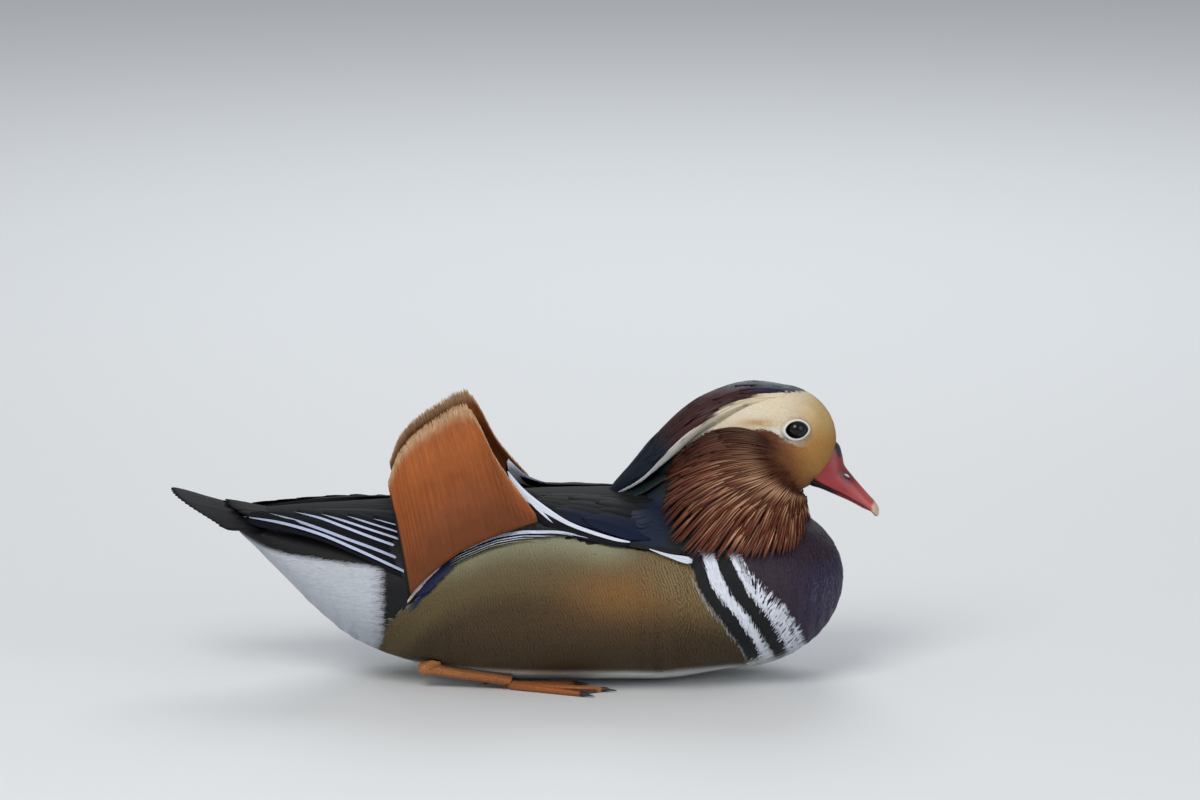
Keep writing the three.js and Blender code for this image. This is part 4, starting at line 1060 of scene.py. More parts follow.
def finishPlumes(name, plumes, material, slotName, *nodes):
    piece = meshPiece(name, np.concatenate(plumes["points"]) * mm, plumes["faces"])
    mesh = piece.data
    # each feather has its own cell of the bake's map
    wide = math.ceil(math.sqrt(len(plumes["cells"]) / 3))
    tall = math.ceil(len(plumes["cells"]) / wide)
    bake = []
    for i, cell in enumerate(plumes["cells"]):
        bake.append((cell * 0.92 + 0.04 + np.array([i % wide, i // wide])) / np.array([wide, tall]))
    writeMap(mesh, "Feather", np.concatenate(plumes["feather"]))
    writeMap(mesh, "OFBake", np.concatenate(bake))
    tints, gloss, random, rails = (np.concatenate(plumes[k]) for k in ("tint", "gloss", "random", "rails"))
    writeLooks(mesh, tints, gloss=gloss, random=random)
    keepEdgesSharp(mesh, rails)
    mesh.materials.append(material)
    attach(piece, "root")
    if nodes:
        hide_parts(*nodes)
    print(name, "made:", len(plumes["cells"]), "feathers,", len(mesh.vertices), "points")


plumeLook = {
    "roughness": 0.58, "glossy": 0.42, "coat": 0.06, "coatRoughness": 0.3, "specular": 0.2,
    "pitch": 1.1, "slant": 3.0, "barbDepth": 0.12, "variation": 0.16,
    "shaft": 0.1, "shaftShade": 0.5, "shaftShare": 0.8, "bump": 0.25, "bumpHeight": 0.0001,
}


def plumeMaterial(name, **changes):
    look = {**plumeLook, **changes}
    material, tree, shader = newMaterial(name)
    web = placeGroup(tree, barbs, {
        "Vector": node(tree, "ShaderNodeUVMap", uv_map="Feather").outputs[0],
        "Pitch": look["pitch"], "Slant": look["slant"], "Shaft": look["shaft"],
    })
    # the barbs' height darkens the grooves between them: painted shade
    colour = placeGroup(tree, vaneShade, {
        "Tint": readAttribute(tree, "tint", "Color"), "Along": web["Height"],
        "Random": readAttribute(tree, "random"), "Shade": look["barbDepth"], "Variation": look["variation"],
    })["Color"]
    shaft = times(tree, web["Shaft Mask"], look["shaftShare"])
    gloss = readAttribute(tree, "gloss")
    wire(tree, shader, {
        "Base Color": blend(tree, shaft, colour, scaled(tree, colour, look["shaftShade"])),
        "Roughness": plus(tree, look["roughness"], times(tree, gloss, look["glossy"] - look["roughness"])),
        "Coat Weight": times(tree, gloss, look["coat"]),
        "Coat Roughness": look["coatRoughness"], "Specular IOR Level": look["specular"],
        "Normal": bumped(tree, web["Height"], look["bump"], look["bumpHeight"]),
    })
    return material


plumeFinish = plumeMaterial("glossyPlume")
darkFinish = plumeMaterial("darkPlume", roughness=0.75, glossy=0.6, coat=0.0, specular=0.1, shaftShade=0.7)


def bladeWidth(share, root=0.45, tip=0.25):
    # half width along a feather, as a share of the widest
    share = np.asarray(share, float)
    swell = mix(root, 1, smoothStep(0, 0.4, share))
    fall = np.sqrt(np.clip(1 - smoothStep(1 - tip, 1.0, share) ** 1.6, 0, 1))
    return np.maximum(swell * fall, 0.04)


# Crest

crestLines = {
    "x": curveThrough([(0, 128), (0.2, 106), (0.4, 84), (0.6, 66), (0.8, 51), (1, 35.5)]),
    "z": curveThrough([(0, 131), (0.2, 130.5), (0.4, 122.5), (0.6, 107.5), (0.8, 92.5), (1, 81.6)]),
    "thick": curveThrough([(0, 1.2), (0.2, 6.6), (0.4, 8), (0.6, 7.6), (0.8, 5.8), (1, 0.8)]),
    "wide": curveThrough([(0, 6), (0.1, 9.2), (0.2, 11.8), (0.3, 14.2), (0.4, 16), (0.6, 13.5), (0.8, 9.5),
                          (1, 1.5)]),
}
whiteTurn = curveThrough([(0.2, 2.2), (0.33, 1.98), (0.5, 1.84), (0.75, 1.8), (1, 1.72)])
napeTop = curveThrough([(30, 84), (38, 85), (46, 87), (51, 88.6), (56, 91.5), (66, 98), (76, 105)])
crestSetup = {
    "seed": 41, "feathers": 260, "length": (0.16, 0.42), "half": (0.8, 1.5),
    "whites": 210, "whiteLength": (0.08, 0.17), "whiteHalf": (0.2, 0.38),
    "front": 90, "nape": 70, "napeWidth": 11, "core": 0.84, "coreAround": 20,
}


def onCrest(q, turn, scale):
    q = np.asarray(q, float)
    step = 0.01
    rise = crestLines["z"](q + step) - crestLines["z"](q - step)
    run = crestLines["x"](q + step) - crestLines["x"](q - step)
    slope = np.arctan2(rise, run)
    over = np.stack([np.sin(slope), 0 * q, -np.cos(slope)], -1)
    middle = np.stack([crestLines["x"](q), 0 * q, crestLines["z"](q)], -1)
    out = over * (crestLines["thick"](q) * scale * np.cos(turn))[..., None]
    aside = np.stack([0 * q, crestLines["wide"](q) * scale * np.sin(turn), 0 * q], -1)
    normal = over * (np.cos(turn) / np.maximum(crestLines["thick"](q), 1))[..., None]
    normal = normal + np.stack([0 * q, np.sin(turn) / crestLines["wide"](q), 0 * q], -1)
    return middle + out + aside, unit(normal)


def crestColour(q, turn):
    blue, maroon, green = tint["crownBlue"], tint["crestMaroon"], tint["crestGreen"]
    colour = mix(blue, maroon, smoothStep(0.14, 0.32, q + 0.12 * (abs(turn) - 0.7)))
    return mix(colour, green, smoothStep(0.5, 0.66, q))


def crestTints(path, q, turn):
    # dark above the line of the face, cream below it
    colour = np.array([crestColour(a, b) for a, b in zip(q, np.broadcast_to(turn, len(q)))])
    x, h = path[:, 0], path[:, 2] - seenSlope * np.abs(path[:, 1])
    below = smoothStep(0.4, -0.4, h - crownEdge(x)) * smoothStep(80, 84, x)
    pale = mix(tint["cream"], tint["creamPale"], (1 - smoothStep(76, 98, x))[:, None] * 0.9)
    return mix(colour, pale, below[:, None])


def makeCrest():
    rng = np.random.default_rng(crestSetup["seed"])
    plumes = newPlumes()
    for k in range(crestSetup["feathers"]):
        start = max(-0.02 + 0.86 * (k / crestSetup["feathers"]) ** 0.9 + rng.uniform(-0.02, 0.02), 0.0)
        end = min(1.0, start + rng.uniform(*crestSetup["length"]) * mix(0.7, 1.0, start))
        turn = rng.uniform(-1.75, 1.75)
        drift = turn * mix(1, 0.93, start) + rng.uniform(-0.06, 0.06)
        q = np.linspace(start, end, 9)
        share = np.linspace(0, 1, 9)
        path, normals = onCrest(q, mix(turn, drift, share), 0.9 + 0.06 * share * rng.uniform(0.3, 1.2))
        path += normals * (1.1 * (1 - smoothStep(0.0, 0.25, q)) - 1.8 * (1 - smoothStep(0.0, 0.07, q)))[:,
                                                                                                        None]
        half = rng.uniform(*crestSetup["half"]) * bladeWidth(share, 0.5, 0.5)
        colour = crestTints(path, q, mix(turn, drift, share)) * rng.uniform(0.9, 1.1)
        addPlume(plumes, path, normals, half, colour, thick=0.3, cup=0.15, gloss=0.9, across=3,
                 chance=rng.random())
    # the white line along each lower edge, out of the cream of the face
    for side in sideNames:
        for k in range(crestSetup["whites"]):
            start = mix(0.22, 0.9, (k + rng.random()) / crestSetup["whites"])
            end = min(1.0, start + rng.uniform(*crestSetup["whiteLength"]))
            q = np.linspace(start, end, 8)
            share = np.linspace(0, 1, 8)
            spread = mix(0.27, 0.07, smoothStep(0.4, 0.72, start))
            turn = side * (whiteTurn(q) + rng.uniform(-spread, spread) + 0.05 * share)
            path, normals = onCrest(q, turn, 0.96)
            half = rng.uniform(*crestSetup["whiteHalf"]) * bladeWidth(share, 0.05, 0.6)
            colour = mix(tint["cream"], tint["creamPale"], smoothStep(0.25, 0.5, start))
            colour = mix(colour, tint["white"], smoothStep(0.5, 0.7, start)) * rng.uniform(0.85, 1.08)
            addPlume(plumes, path + normals * 0.2, normals, half, colour, thick=0.14, gloss=0.1, across=3,
                     chance=rng.random())
    # short feathers that close the front of the crown
    for k in range(crestSetup["front"]):
        q = np.linspace(0, rng.uniform(0.09, 0.27), 8) - rng.uniform(0.0, 0.012)
        turn = rng.uniform(-1.9, 1.9)
        path, normals = onCrest(np.maximum(q, 0), turn + 0 * q, 1.0)
        inward = np.array([0, -np.sign(turn) * 0.5 * (abs(turn) > 1), -0.1])
        path = path + inward - normals * (0.9 * (1 - smoothStep(0.0, 0.05, q)))[:, None]
        colour = crestTints(path, q, turn) * rng.uniform(0.9, 1.05)
        addPlume(plumes, path, normals, bladeWidth(np.linspace(0, 1, 8), 0.3, 0.4), colour, thick=0.2,
                 cup=0.12, gloss=0.7, across=3, chance=rng.random())
    # the nape below it, down to the back
    for k in range(crestSetup["nape"]):
        y = rng.uniform(-crestSetup["napeWidth"], crestSetup["napeWidth"])
        front = rng.uniform(52, 78)
        x = np.linspace(front, front - 24, 10)
        path = np.stack([x, y + 0 * x, napeTop(x) - 0.02 * y * y], -1)
        half = 1.8 * bladeWidth(np.linspace(0, 1, 10), 0.4, 0.4)
        addPlume(plumes, path, np.tile([0.4, 0.04 * y, 1.0], (10, 1)), half, tint["neckGreen"], thick=0.3,
                 cup=0.1, gloss=0.5, across=3, chance=rng.random())
    # a core that closes the space below
    around = crestSetup["coreAround"]
    qs = np.linspace(0.0, 1.0, 26)
    angle = np.linspace(0, 2 * math.pi, around, endpoint=False)
    rings = np.array([onCrest(np.full(around, q), angle, crestSetup["core"])[0] for q in qs])
    vertices, faces = tubeOfRings(rings)
    ringQ = np.repeat(qs, around)
    feather = np.stack([ringQ, np.full(len(ringQ), 0.8)], 1)
    cell = np.stack([ringQ, np.tile(angle / (2 * math.pi), len(qs))], 1)
    addSurface(plumes, vertices, faces, feather, cell, crestTints(vertices, ringQ, 0), gloss=0.8)
    finishPlumes("crestFeathers", plumes, plumeFinish, "crest_plumage", "crest")


makeCrest()


# Ruff: hackles that fan out from the cheek

ruffSetup = {
    "seed": 29, "hackles": 350, "half": (0.55, 1.05), "shortMore": 10,
    # where a hackle of each tier starts, and how far it reaches; the last tier is short, at the cheek
    "tiers": [(0.3, 0.62, 1.0), (0.12, 0.45, 0.93), (0.0, 0.3, 0.78), (-0.12, 0.14, 0.5)],
}
ruffRoot = {
    "x": curveThrough([(-0.35, 113), (0, 112), (0.5, 119), (1, 127.5)]),
    "z": curveThrough([(-0.35, 115.2), (0, 106), (0.5, 95), (1, 87)]),
}
ruffTip = {
    "x": curveThrough([(-0.35, 67), (0, 64), (0.15, 62.5), (0.3, 66), (0.45, 78), (0.6, 92), (0.75, 108),
                       (0.88, 122), (1, 130)]),
    "z": curveThrough([(-0.35, 100.5), (0, 93), (0.15, 82), (0.3, 71), (0.45, 63.5), (0.6, 62), (0.75, 62),
                       (0.88, 64), (1, 73)]),
}
ruffBow = curveThrough([(-0.35, 10), (0, 6.5), (0.5, 3), (1, 0)])


def onRuff(s, t, side, lift):
    x = mix(ruffRoot["x"](s), ruffTip["x"](s), t)
    z = mix(ruffRoot["z"](s), ruffTip["z"](s), t) + ruffBow(s) * np.sin(math.pi * t)
    return onSide(x, z, side, lift)


hackleFinish = plumeMaterial("hacklePlume", roughness=0.55, glossy=0.4, pitch=0.9, slant=4.0, barbDepth=0.2,
                             variation=0.3, shaft=0.001, coat=0.1)


def makeRuff(side):
    rng = np.random.default_rng(ruffSetup["seed"])
    plumes = newPlumes()
    share = np.linspace(0, 1, 12)
    for tier, (low, high, reach) in enumerate(ruffSetup["tiers"]):
        count = ruffSetup["hackles"] // 4 + (ruffSetup["shortMore"] if tier == 3 else 0)
        for k in range(count):
            s = mix(-0.35, 1.0, (k + rng.uniform(0.2, 0.8)) / count)
            start = rng.uniform(low, high)
            end = min(1.0, reach * (rng.uniform(0.93, 1.03) if tier == 0 else rng.uniform(0.72, 1.12)))
            bend = rng.uniform(-0.025, 0.025)
            t = np.linspace(start, end, 12)
            bulge = (0.4 + 0.5 * tier) * np.sin(math.pi * np.clip(t * 0.9, 0, 1))
            path, normals = onRuff(s + bend * share, t, side, 0.45 + bulge + 0.9 * t**3 * (tier + 1) * 0.35)
            widest = mix(0.3, rng.uniform(*ruffSetup["half"]), smoothStep(-0.1, 0.7, t))
            half = widest * bladeWidth(share, 0.35, 0.42) * mix(0.6, 1.0, float(smoothStep(-0.25, 0.2, s)))
            warm = mix(tint["underEye"], tint["ruff"], smoothStep(0.1, 0.6, t)[:, None])
            warm = mix(warm, tint["ruffTip"], smoothStep(0.7, 1, t)[:, None] * 0.7) * rng.uniform(0.8, 1.15)
            warm = warm * mix(0.42, 1.0, float(smoothStep(-0.35, 0.22, s)))
            # the hackle's blade is darkened away from its root while the narrower shaft layer over it stays
            # light: painted shade at the edges between hackles
            colour = warm * mix(0.95, 0.5, smoothStep(0.05, 0.4, t))[:, None]
            addPlume(plumes, path, normals, half, colour, thick=0.28, cup=0.2, gloss=0.4, across=3,
                     chance=rng.random())
            # a pale shaft line on each hackle, fading to the tip
            paleness = smoothStep(0.02, 0.22, t) * mix(0.15, 0.9, float(smoothStep(-0.15, 0.4, s)))
            pale = mix(tint["ruffShaft"], warm, smoothStep(0.35, 0.8, share)[:, None])
            addPlume(plumes, path + normals * 0.22, normals, half * mix(0.3, 0.55, share),
                     mix(warm, pale, paleness[:, None]), thick=0.2, cup=0.1, gloss=0.3, across=3,
                     chance=rng.random())
    hand = sideNames[side]
    finishPlumes(f"ruff_{hand}_hackles", plumes, hackleFinish, "ruff_plumage", f"ruff_{hand}")


for side in sideNames:
    makeRuff(side)


# Scapulars and the white-edged blade behind them

scapularLow = {
    "x": curveThrough([(0, 59), (0.3, 42), (0.55, 21), (0.75, 6), (0.9, -3), (1, -8)]),
    "y": curveThrough([(0, 48), (0.3, 45.5), (0.55, 39.5), (0.75, 28), (0.9, 18), (1, 13)]),
    "z": curveThrough([(0, 68), (0.3, 71.5), (0.55, 76), (0.75, 80.5), (0.9, 87.5), (1, 96)]),
}
scapularHigh = {
    "x": curveThrough([(0, 57), (0.55, 26), (0.75, 10), (0.9, -2), (1, -7.4)]),
    "y": curveThrough([(0, 16), (0.55, 12), (0.75, 12), (0.9, 12), (1, 12)]),
    "z": curveThrough([(0, 84.5), (0.55, 85.6), (0.75, 85.4), (0.9, 89.5), (1, 95.4)]),
}


def alongLines(lines, s):
    return np.stack([lines["x"](s), lines["y"](s), lines["z"](s)], -1)


scapularSetup = {
    "seed": 13, "crown": 3.6, "liftShare": 0.65,
    # place across at the root and the tip, start and end along, lift, tint, half width
    "rows": [
        (0.14, 0.20, 0.02, 0.50, 1.4, "backOlive", 4.3), (0.30, 0.30, 0.00, 0.46, 1.7, "backOlive", 5.2),
        (0.55, 0.50, 0.00, 0.44, 1.9, "black", 5.0), (0.78, 0.72, 0.00, 0.44, 2.1, "backOlive", 4.6),
        (0.18, 0.26, 0.18, 0.68, 1.0, "backOlive", 4.2), (0.38, 0.40, 0.18, 0.66, 1.2, "backOlive", 4.8),
        (0.62, 0.60, 0.18, 0.64, 1.4, "backOlive", 4.6), (0.86, 0.82, 0.16, 0.62, 1.6, "backOlive", 4.4),
        (0.20, 0.34, 0.34, 0.82, 0.6, "black", 3.8), (0.45, 0.52, 0.34, 0.80, 0.8, "black", 4.4),
        (0.75, 0.74, 0.34, 0.80, 1.0, "backOlive", 4.2), (0.95, 0.92, 0.36, 0.78, 1.2, "backOlive", 3.6),
        (0.30, 0.62, 0.52, 0.90, 0.4, "black", 3.6), (0.70, 0.80, 0.52, 0.90, 0.5, "black", 3.4),
    ],
    "whiteHalf": [(0, 0.35), (0.25, 0.8), (0.5, 1.0), (0.75, 1.7), (0.87, 2.0), (0.96, 1.2), (1, 0.2)],
    "blackHalf": [(0, 0.8), (0.3, 1.6), (0.6, 2.6), (0.85, 3.0), (0.96, 1.5), (1, 0.2)],
    "sections": 22, "tipFrom": 14, "prong": (0.6, 0.86), "prongAt": 12,
    # a white wedge on the shoulder: from and to, as length and seen height, and its half width
    "wedge": ((57, 58.2), (76.5, 52.8), 1.7),
}
# the upper edge of the long blade, which rises off the back at its tip
bladeLine = {
    "x": curveThrough([(0, 48), (0.2, 42.7), (0.5, 21.5), (0.72, 10), (0.88, 0), (1, -8)]),
    "y": curveThrough([(0, 47), (0.2, 45.5), (0.5, 39), (0.72, 27.5), (0.88, 17.5), (1, 13)]),
    "z": curveThrough([(0, 71), (0.2, 72), (0.5, 78), (0.72, 83), (0.88, 89), (1, 97)]),
}


def onScapulars(s, t, side, lift):
    s, t = np.broadcast_arrays(np.asarray(s, float), np.asarray(t, float))
    at = mix(alongLines(scapularLow, s), alongLines(scapularHigh, s), t[..., None])
    crown = (scapularSetup["crown"] * np.sin(math.pi * np.clip(s, 0, 1)) * (1 - t)
             + scapularSetup["liftShare"] * lift)
    at = at + np.array([0, 0.5, 0.86]) * crown[..., None]
    normal = np.tile(unit(np.array([0, mix(0.9, 0.2, float(np.mean(t))), 1.0])), at.shape[:-1] + (1,))
    flip = np.array([1, side, 1])
    return at * flip, normal * flip


def onSeen(x, h, side, lift):
    # a place on the body from its seen height
    x, h = np.asarray(x, float), np.asarray(h, float)
    z = h + seenSlope * 45
    for _ in range(12):
        z = 0.5 * z + 0.5 * (h + seenSlope * sideOfBody(x, z))
    return onSide(x, z, side, lift + 0 * x)


def makeScapulars(side):
    rng = np.random.default_rng(scapularSetup["seed"])
    plumes = newPlumes()
    share = np.linspace(0, 1, 12)
    for rootT, tipT, start, end, lift, name, half in reversed(scapularSetup["rows"]):
        s = mix(start, end, share)
        path, normals = onScapulars(s, mix(rootT, tipT, share), side, lift + 0.6 * share)
        x, h = path[:, 0], path[:, 2] - seenSlope * np.abs(path[:, 1])
        blue = smoothStep(3.5, -2.0, h - (75.3 - 0.187 * (x - 19.3))) * smoothStep(6, 24, x)
        colour = mix(tint[name], tint["shoulderBlue"], blue[:, None]) * rng.uniform(0.92, 1.08)
        addPlume(plumes, path, normals, half * bladeWidth(share, 0.15, 0.35), colour, thick=0.25, cup=0.12,
                 gloss=0.5, chance=rng.random())
    # the long blade: black, with a white upper edge that is white inside the tip too
    q = np.linspace(0, 1, scapularSetup["sections"])
    edgeLine = alongLines(bladeLine, q)
    outward = unit(np.stack([0.25 + 0 * q, 1 + 0 * q, 0.65 + 0 * q], -1))
    down = unit(np.cross(unit(np.gradient(edgeLine, axis=0)), outward))
    down *= np.sign(-down[:, 2:3])
    flip = np.array([1, side, 1])
    whiteHalf, blackHalf = (curveThrough(scapularSetup[key])(q) for key in ("whiteHalf", "blackHalf"))
    black = edgeLine + down * (whiteHalf * 1.4 + blackHalf)[:, None] + outward * 0.8
    addPlume(plumes, black * flip, outward * flip, blackHalf * 1.15, tint["black"], thick=0.5, cup=0.1,
             gloss=0.7)
    white = edgeLine + down * whiteHalf[:, None] + outward * 1.3
    addPlume(plumes, white * flip, outward * flip, whiteHalf, tint["bladeWhite"], thick=0.45, cup=0.1,
             gloss=0.25)
    tip = slice(scapularSetup["tipFrom"], None)
    within = edgeLine + down * (whiteHalf * 1.5)[:, None] + outward * 0.2
    addPlume(plumes, within[tip] * flip, outward[tip] * flip, whiteHalf[tip] * 1.45, tint["bladeWhite"],
             thick=0.3, cup=0.1, gloss=0.25)
    # a short white prong below the tip
    first, last = scapularSetup["prong"]
    prong = np.linspace(first, last, 8)
    fall = down[scapularSetup["prongAt"]] * curveThrough([(first, 5.2), (last, 2.6)])(prong)[:, None]
    out = outward[scapularSetup["prongAt"]]
    addPlume(plumes, (alongLines(bladeLine, prong) + fall + out * 1.7) * flip, np.tile(out * flip, (8, 1)),
             0.7 * bladeWidth(np.linspace(1, 0, 8), 0.3, 0.6), tint["bladeWhite"], thick=0.3, gloss=0.25,
             across=3)
    (x0, h0), (x1, h1), half = scapularSetup["wedge"]
    share = np.linspace(0, 1, 10)
    path, normals = onSeen(mix(x0, x1, share), mix(h0, h1, share) - 0.5 * np.sin(math.pi * share), side, 1.3)
    shape = curveThrough([(0, 0.12), (0.5, 0.55), (0.85, 1.0), (0.96, 0.9), (1, 0.6)])(share)
    addPlume(plumes, path, normals, half * shape, tint["bladeWhite"] * 0.9, thick=0.3, cup=0.1, gloss=0.2)
    hand = sideNames[side]
    finishPlumes(f"scapulars_{hand}_feathers", plumes, darkFinish, "scapular_plumage", f"scapulars_{hand}")


for side in sideNames:
    makeScapulars(side)


# Wings: long feathers with silver outer edges

wingLow = {
    "x": curveThrough([(0, -50), (0.5, -95), (1, -131)]), "y": curveThrough([(0, 47), (0.5, 30.5), (1, 12)]),
    "z": curveThrough([(0, 52), (0.5, 67.5), (1, 75)]),
}
wingHigh = {
    "x": curveThrough([(0, -50), (0.5, -75), (1, -128)]), "y": curveThrough([(0, 21), (0.5, 17.5), (1, 9)]),
    "z": curveThrough([(0, 79), (0.5, 79.5), (1, 78)]),
}


def onWing(s, t, side, lift):
    s, t = np.broadcast_arrays(np.asarray(s, float), np.asarray(t, float))
    at = mix(alongLines(wingLow, s), alongLines(wingHigh, s), t[..., None])
    crown = wingSetup["crown"] * np.sin(math.pi * np.clip(s, 0, 1)) * (1 - t) + lift
    at = at + np.array([0, 0.6, 0.8]) * crown[..., None]
    normal = unit(np.stack([0 * t, mix(1.0, 0.25, t), mix(0.7, 1.0, t)], -1))
    flip = np.array([1, side, 1])
    return at * flip, normal * flip


wingSetup = {
    "seed": 31, "crown": 5,
    # the silver edges, by place along the body and seen height
    "silver": [
        [(-129.7, 72.9), (-114.5, 70.6), (-95.5, 65.4), (-76.4, 57.5), (-59, 49.4)],
        [(-117.3, 74.2), (-106.7, 71.4), (-94.3, 67.2), (-82, 62.6), (-69.8, 58.2), (-60.1, 54.3)],
        [(-105.8, 74.7), (-94.3, 72), (-83.6, 68.1), (-71.3, 63.4), (-60.6, 59.5)],
        [(-93.5, 73.6), (-82, 70.1), (-71.3, 66.5), (-61, 63.1)],
        [(-81.7, 72.5), (-71.3, 69.2), (-61.2, 66)],
        [(-69.5, 71), (-61.3, 68.8)],
    ],
    "silverHalf": (0.7, 0.72, 0.7, 0.64, 0.58, 0.5), "front": -48.0, "blade": (2.3, 2.6),
    "under": 11, "underHalf": 3.4,
}


def onWingSeen(x, h, side, lift):
    # a place on the wing from its seen height
    steps = np.linspace(0, 1, 240)
    t = 0.5 + 0 * x
    for _ in range(8):
        lines = [mix(wingLow["x"](steps), wingHigh["x"](steps), across) for across in t]
        s = np.array([np.interp(-at, -line, steps) for at, line in zip(x, lines)])
        ends = [onWing(s, 0 * s + end, 1, 0)[0] for end in (0, 1)]
        low, high = (end[:, 2] - seenSlope * end[:, 1] for end in ends)
        t = np.clip((h - low) / (high - low), -0.15, 1.15)
    return onWing(s, t, side, lift)


def makeWing(side):
    rng = np.random.default_rng(wingSetup["seed"])
    plumes = newPlumes()
    share = np.linspace(0, 1, 22)
    above, half = wingSetup["blade"]
    front = wingSetup["front"]
    for k, line in enumerate(wingSetup["silver"]):
        slope = (line[-1][1] - line[-2][1]) / (line[-1][0] - line[-2][0])
        seen = curveThrough(line + [(front, line[-1][1] + slope * (front - line[-1][0]))])
        x = mix(front, line[0][0], share)
        taper = bladeWidth(share, 0.9, 0.12)
        path, normals = onWingSeen(x, seen(x) + above * taper, side, 0.6 + 0.3 * k + 0 * x)
        addPlume(plumes, path, normals, half * taper, tint["wing"] * rng.uniform(0.85, 1.2), thick=0.2,
                 cup=0.03, gloss=0.45, turnOut=side, chance=rng.random())
        path, normals = onWingSeen(x, seen(x), side, 1.1 + 0.3 * k + 0 * x)
        pale = tint["silver"] * mix(1.0, 0.75, smoothStep(0.55, 1, share))[:, None]
        addPlume(plumes, path, normals, wingSetup["silverHalf"][k] * bladeWidth(share, 0.9, 0.3), pale,
                 thick=0.2, cup=0.05, gloss=0.3, across=3, turnOut=side, chance=rng.random())
    # dark feathers under them, down to the low edge and out to the tip
    for k in range(wingSetup["under"]):
        s = np.linspace(0.0, 1 - 0.02 * k, 18)
        half = wingSetup["underHalf"] * bladeWidth(np.linspace(0, 1, 18), 0.9, 0.2)
        t = mix(0.08, 0.98, k / (wingSetup["under"] - 1))
        path, normals = onWing(s, t + 0 * s, side, 0.02 * k + 0 * s)
        addPlume(plumes, path, normals, half, tint["wing"] * rng.uniform(0.9, 1.1), thick=0.35, cup=0.08,
                 gloss=0.5, turnOut=side, chance=rng.random())
    hand = sideNames[side]
    finishPlumes(f"wing_{hand}_feathers", plumes, darkFinish, "dark_plumage", f"wing_{hand}")


for side in sideNames:
    makeWing(side)


# Tail, and the rows along the back that run out over its root

tailSetup = {
    "seed": 37, "feathers": 30, "spread": 31, "half": 4.6, "coverts": 9, "covertHalf": 4.4,
    "root": (-100, 72), "longest": 63.0, "shortest": 47,
}
backSetup = {
    "rows": [(-88, -124), (-68, -104), (-48, -82), (-30, -62), (-12, -44), (4, -26), (18, -10), (32, 6),
             (46, 20), (60, 34)],
    "across": 9, "fall": 2.5, "featherHalf": 3.6, "oliveFrom": -30,
    "half": curveThrough([(-128, 8), (-90, 13), (-50, 17), (0, 16), (60, 17)]),
    "top": curveThrough([(-128, 76.5), (-100, 78.5), (-60, 80.5), (-20, 83.8), (0, 85.2), (30, 86),
                         (60, 86)]),
}


def onTail(s, far, lift):
    turn = np.radians(mix(-tailSetup["spread"], tailSetup["spread"], s))
    rootX, rootZ = tailSetup["root"]
    z = rootZ + lift + 0.08 * far + 0.0019 * far**2 - 6 * (2 * s - 1) ** 2 * far / 50
    return np.stack([rootX - far * np.cos(turn), far * np.sin(turn), z], -1)


def makeTail():
    rng = np.random.default_rng(tailSetup["seed"])
    plumes = newPlumes()
    count = tailSetup["feathers"]
    share = np.linspace(0, 1, 16)
    outerFirst = sorted(range(count), key=lambda k: -abs(2 * k / (count - 1) - 1))
    for place, k in enumerate(outerFirst):
        s = k / (count - 1)
        reach = mix(tailSetup["shortest"], tailSetup["longest"], math.sin(math.pi * s) ** 1.4)
        far = np.linspace(10, reach, 16)
        path = onTail(s + 0 * far, far, 0.08 * place)
        normals = np.tile([0, 0.35 * (2 * s - 1), 1.0], (16, 1))
        addPlume(plumes, path, normals, tailSetup["half"] * bladeWidth(share, 0.5, 0.12),
                 tint["tail"] * rng.uniform(0.85, 1.2), thick=0.35, cup=0.08, gloss=0.4, chance=rng.random())
    share = np.linspace(0, 1, 12)
    for k in range(tailSetup["coverts"]):
        s = (k + 0.5) / tailSetup["coverts"]
        far = np.linspace(4, 30 + 9 * math.sin(math.pi * s), 12)
        path = onTail(s + 0 * far, far, 3.0 + 0.1 * (k % 3))
        normals = np.tile([0, 0.35 * (2 * s - 1), 1.0], (12, 1))
        addPlume(plumes, path, normals, tailSetup["covertHalf"] * bladeWidth(share, 0.5, 0.4),
                 tint["tail"] * rng.uniform(0.7, 1.0), thick=0.45, cup=0.15, gloss=0.5, chance=rng.random())
    half = backSetup["featherHalf"] * bladeWidth(share, 0.4, 0.4)
    for ahead, behind in backSetup["rows"]:
        name = "backOlive" if ahead > backSetup["oliveFrom"] else "wing"
        for k in range(backSetup["across"]):
            s = 2 * (k + 0.5) / backSetup["across"] - 1
            x = np.linspace(ahead, behind, 12) - 3 * (k % 2)
            z = backSetup["top"](x) - backSetup["fall"] * s * s + 0.5
            addPlume(plumes, np.stack([x, s * backSetup["half"](x), z], -1),
                     np.tile([0, 0.3 * s, 1.0], (12, 1)), half,
                     tint[name] * rng.uniform(0.85, 1.15), thick=0.3, cup=0.15, gloss=0.4,
                     chance=rng.random())
    finishPlumes("tailFeathers", plumes, darkFinish, "dark_plumage", "tail")


makeTail()
print("large feathers made")


# Sails: the upright inner feathers, with fine barbs that fray along the top

sailFoot = {
    "x": curveThrough([(0, -53), (0.25, -44), (0.5, -26), (0.75, -8), (1, 6)]),
    "y": curveThrough([(0, 49), (0.25, 49.5), (0.5, 47), (0.75, 41.5), (1, 33.5)]),
    "z": curveThrough([(0, 45), (0.25, 54.5), (0.5, 67), (0.75, 73.5), (1, 76.5)]),
}
sailTop = {
    "x": curveThrough([(0, -62.5), (0.2, -57), (0.45, -43), (0.7, -25.5), (0.85, -12), (1, 5)]),
    "y": curveThrough([(0, 20.5), (0.45, 17), (0.7, 16), (0.85, 21), (1, 31)]),
    "z": curveThrough([(0, 91), (0.2, 103), (0.45, 115), (0.7, 122.5), (0.85, 101), (1, 79.5)]),
}
sailSetup = {
    "seed": 53, "across": 140, "up": 40, "lift": (2.7, 3.6), "bow": 0.16, "ripple": 0.18, "ripples": 160,
    "barbs": 1500, "fringe": 0.955, "shaftHalf": 0.8,
}
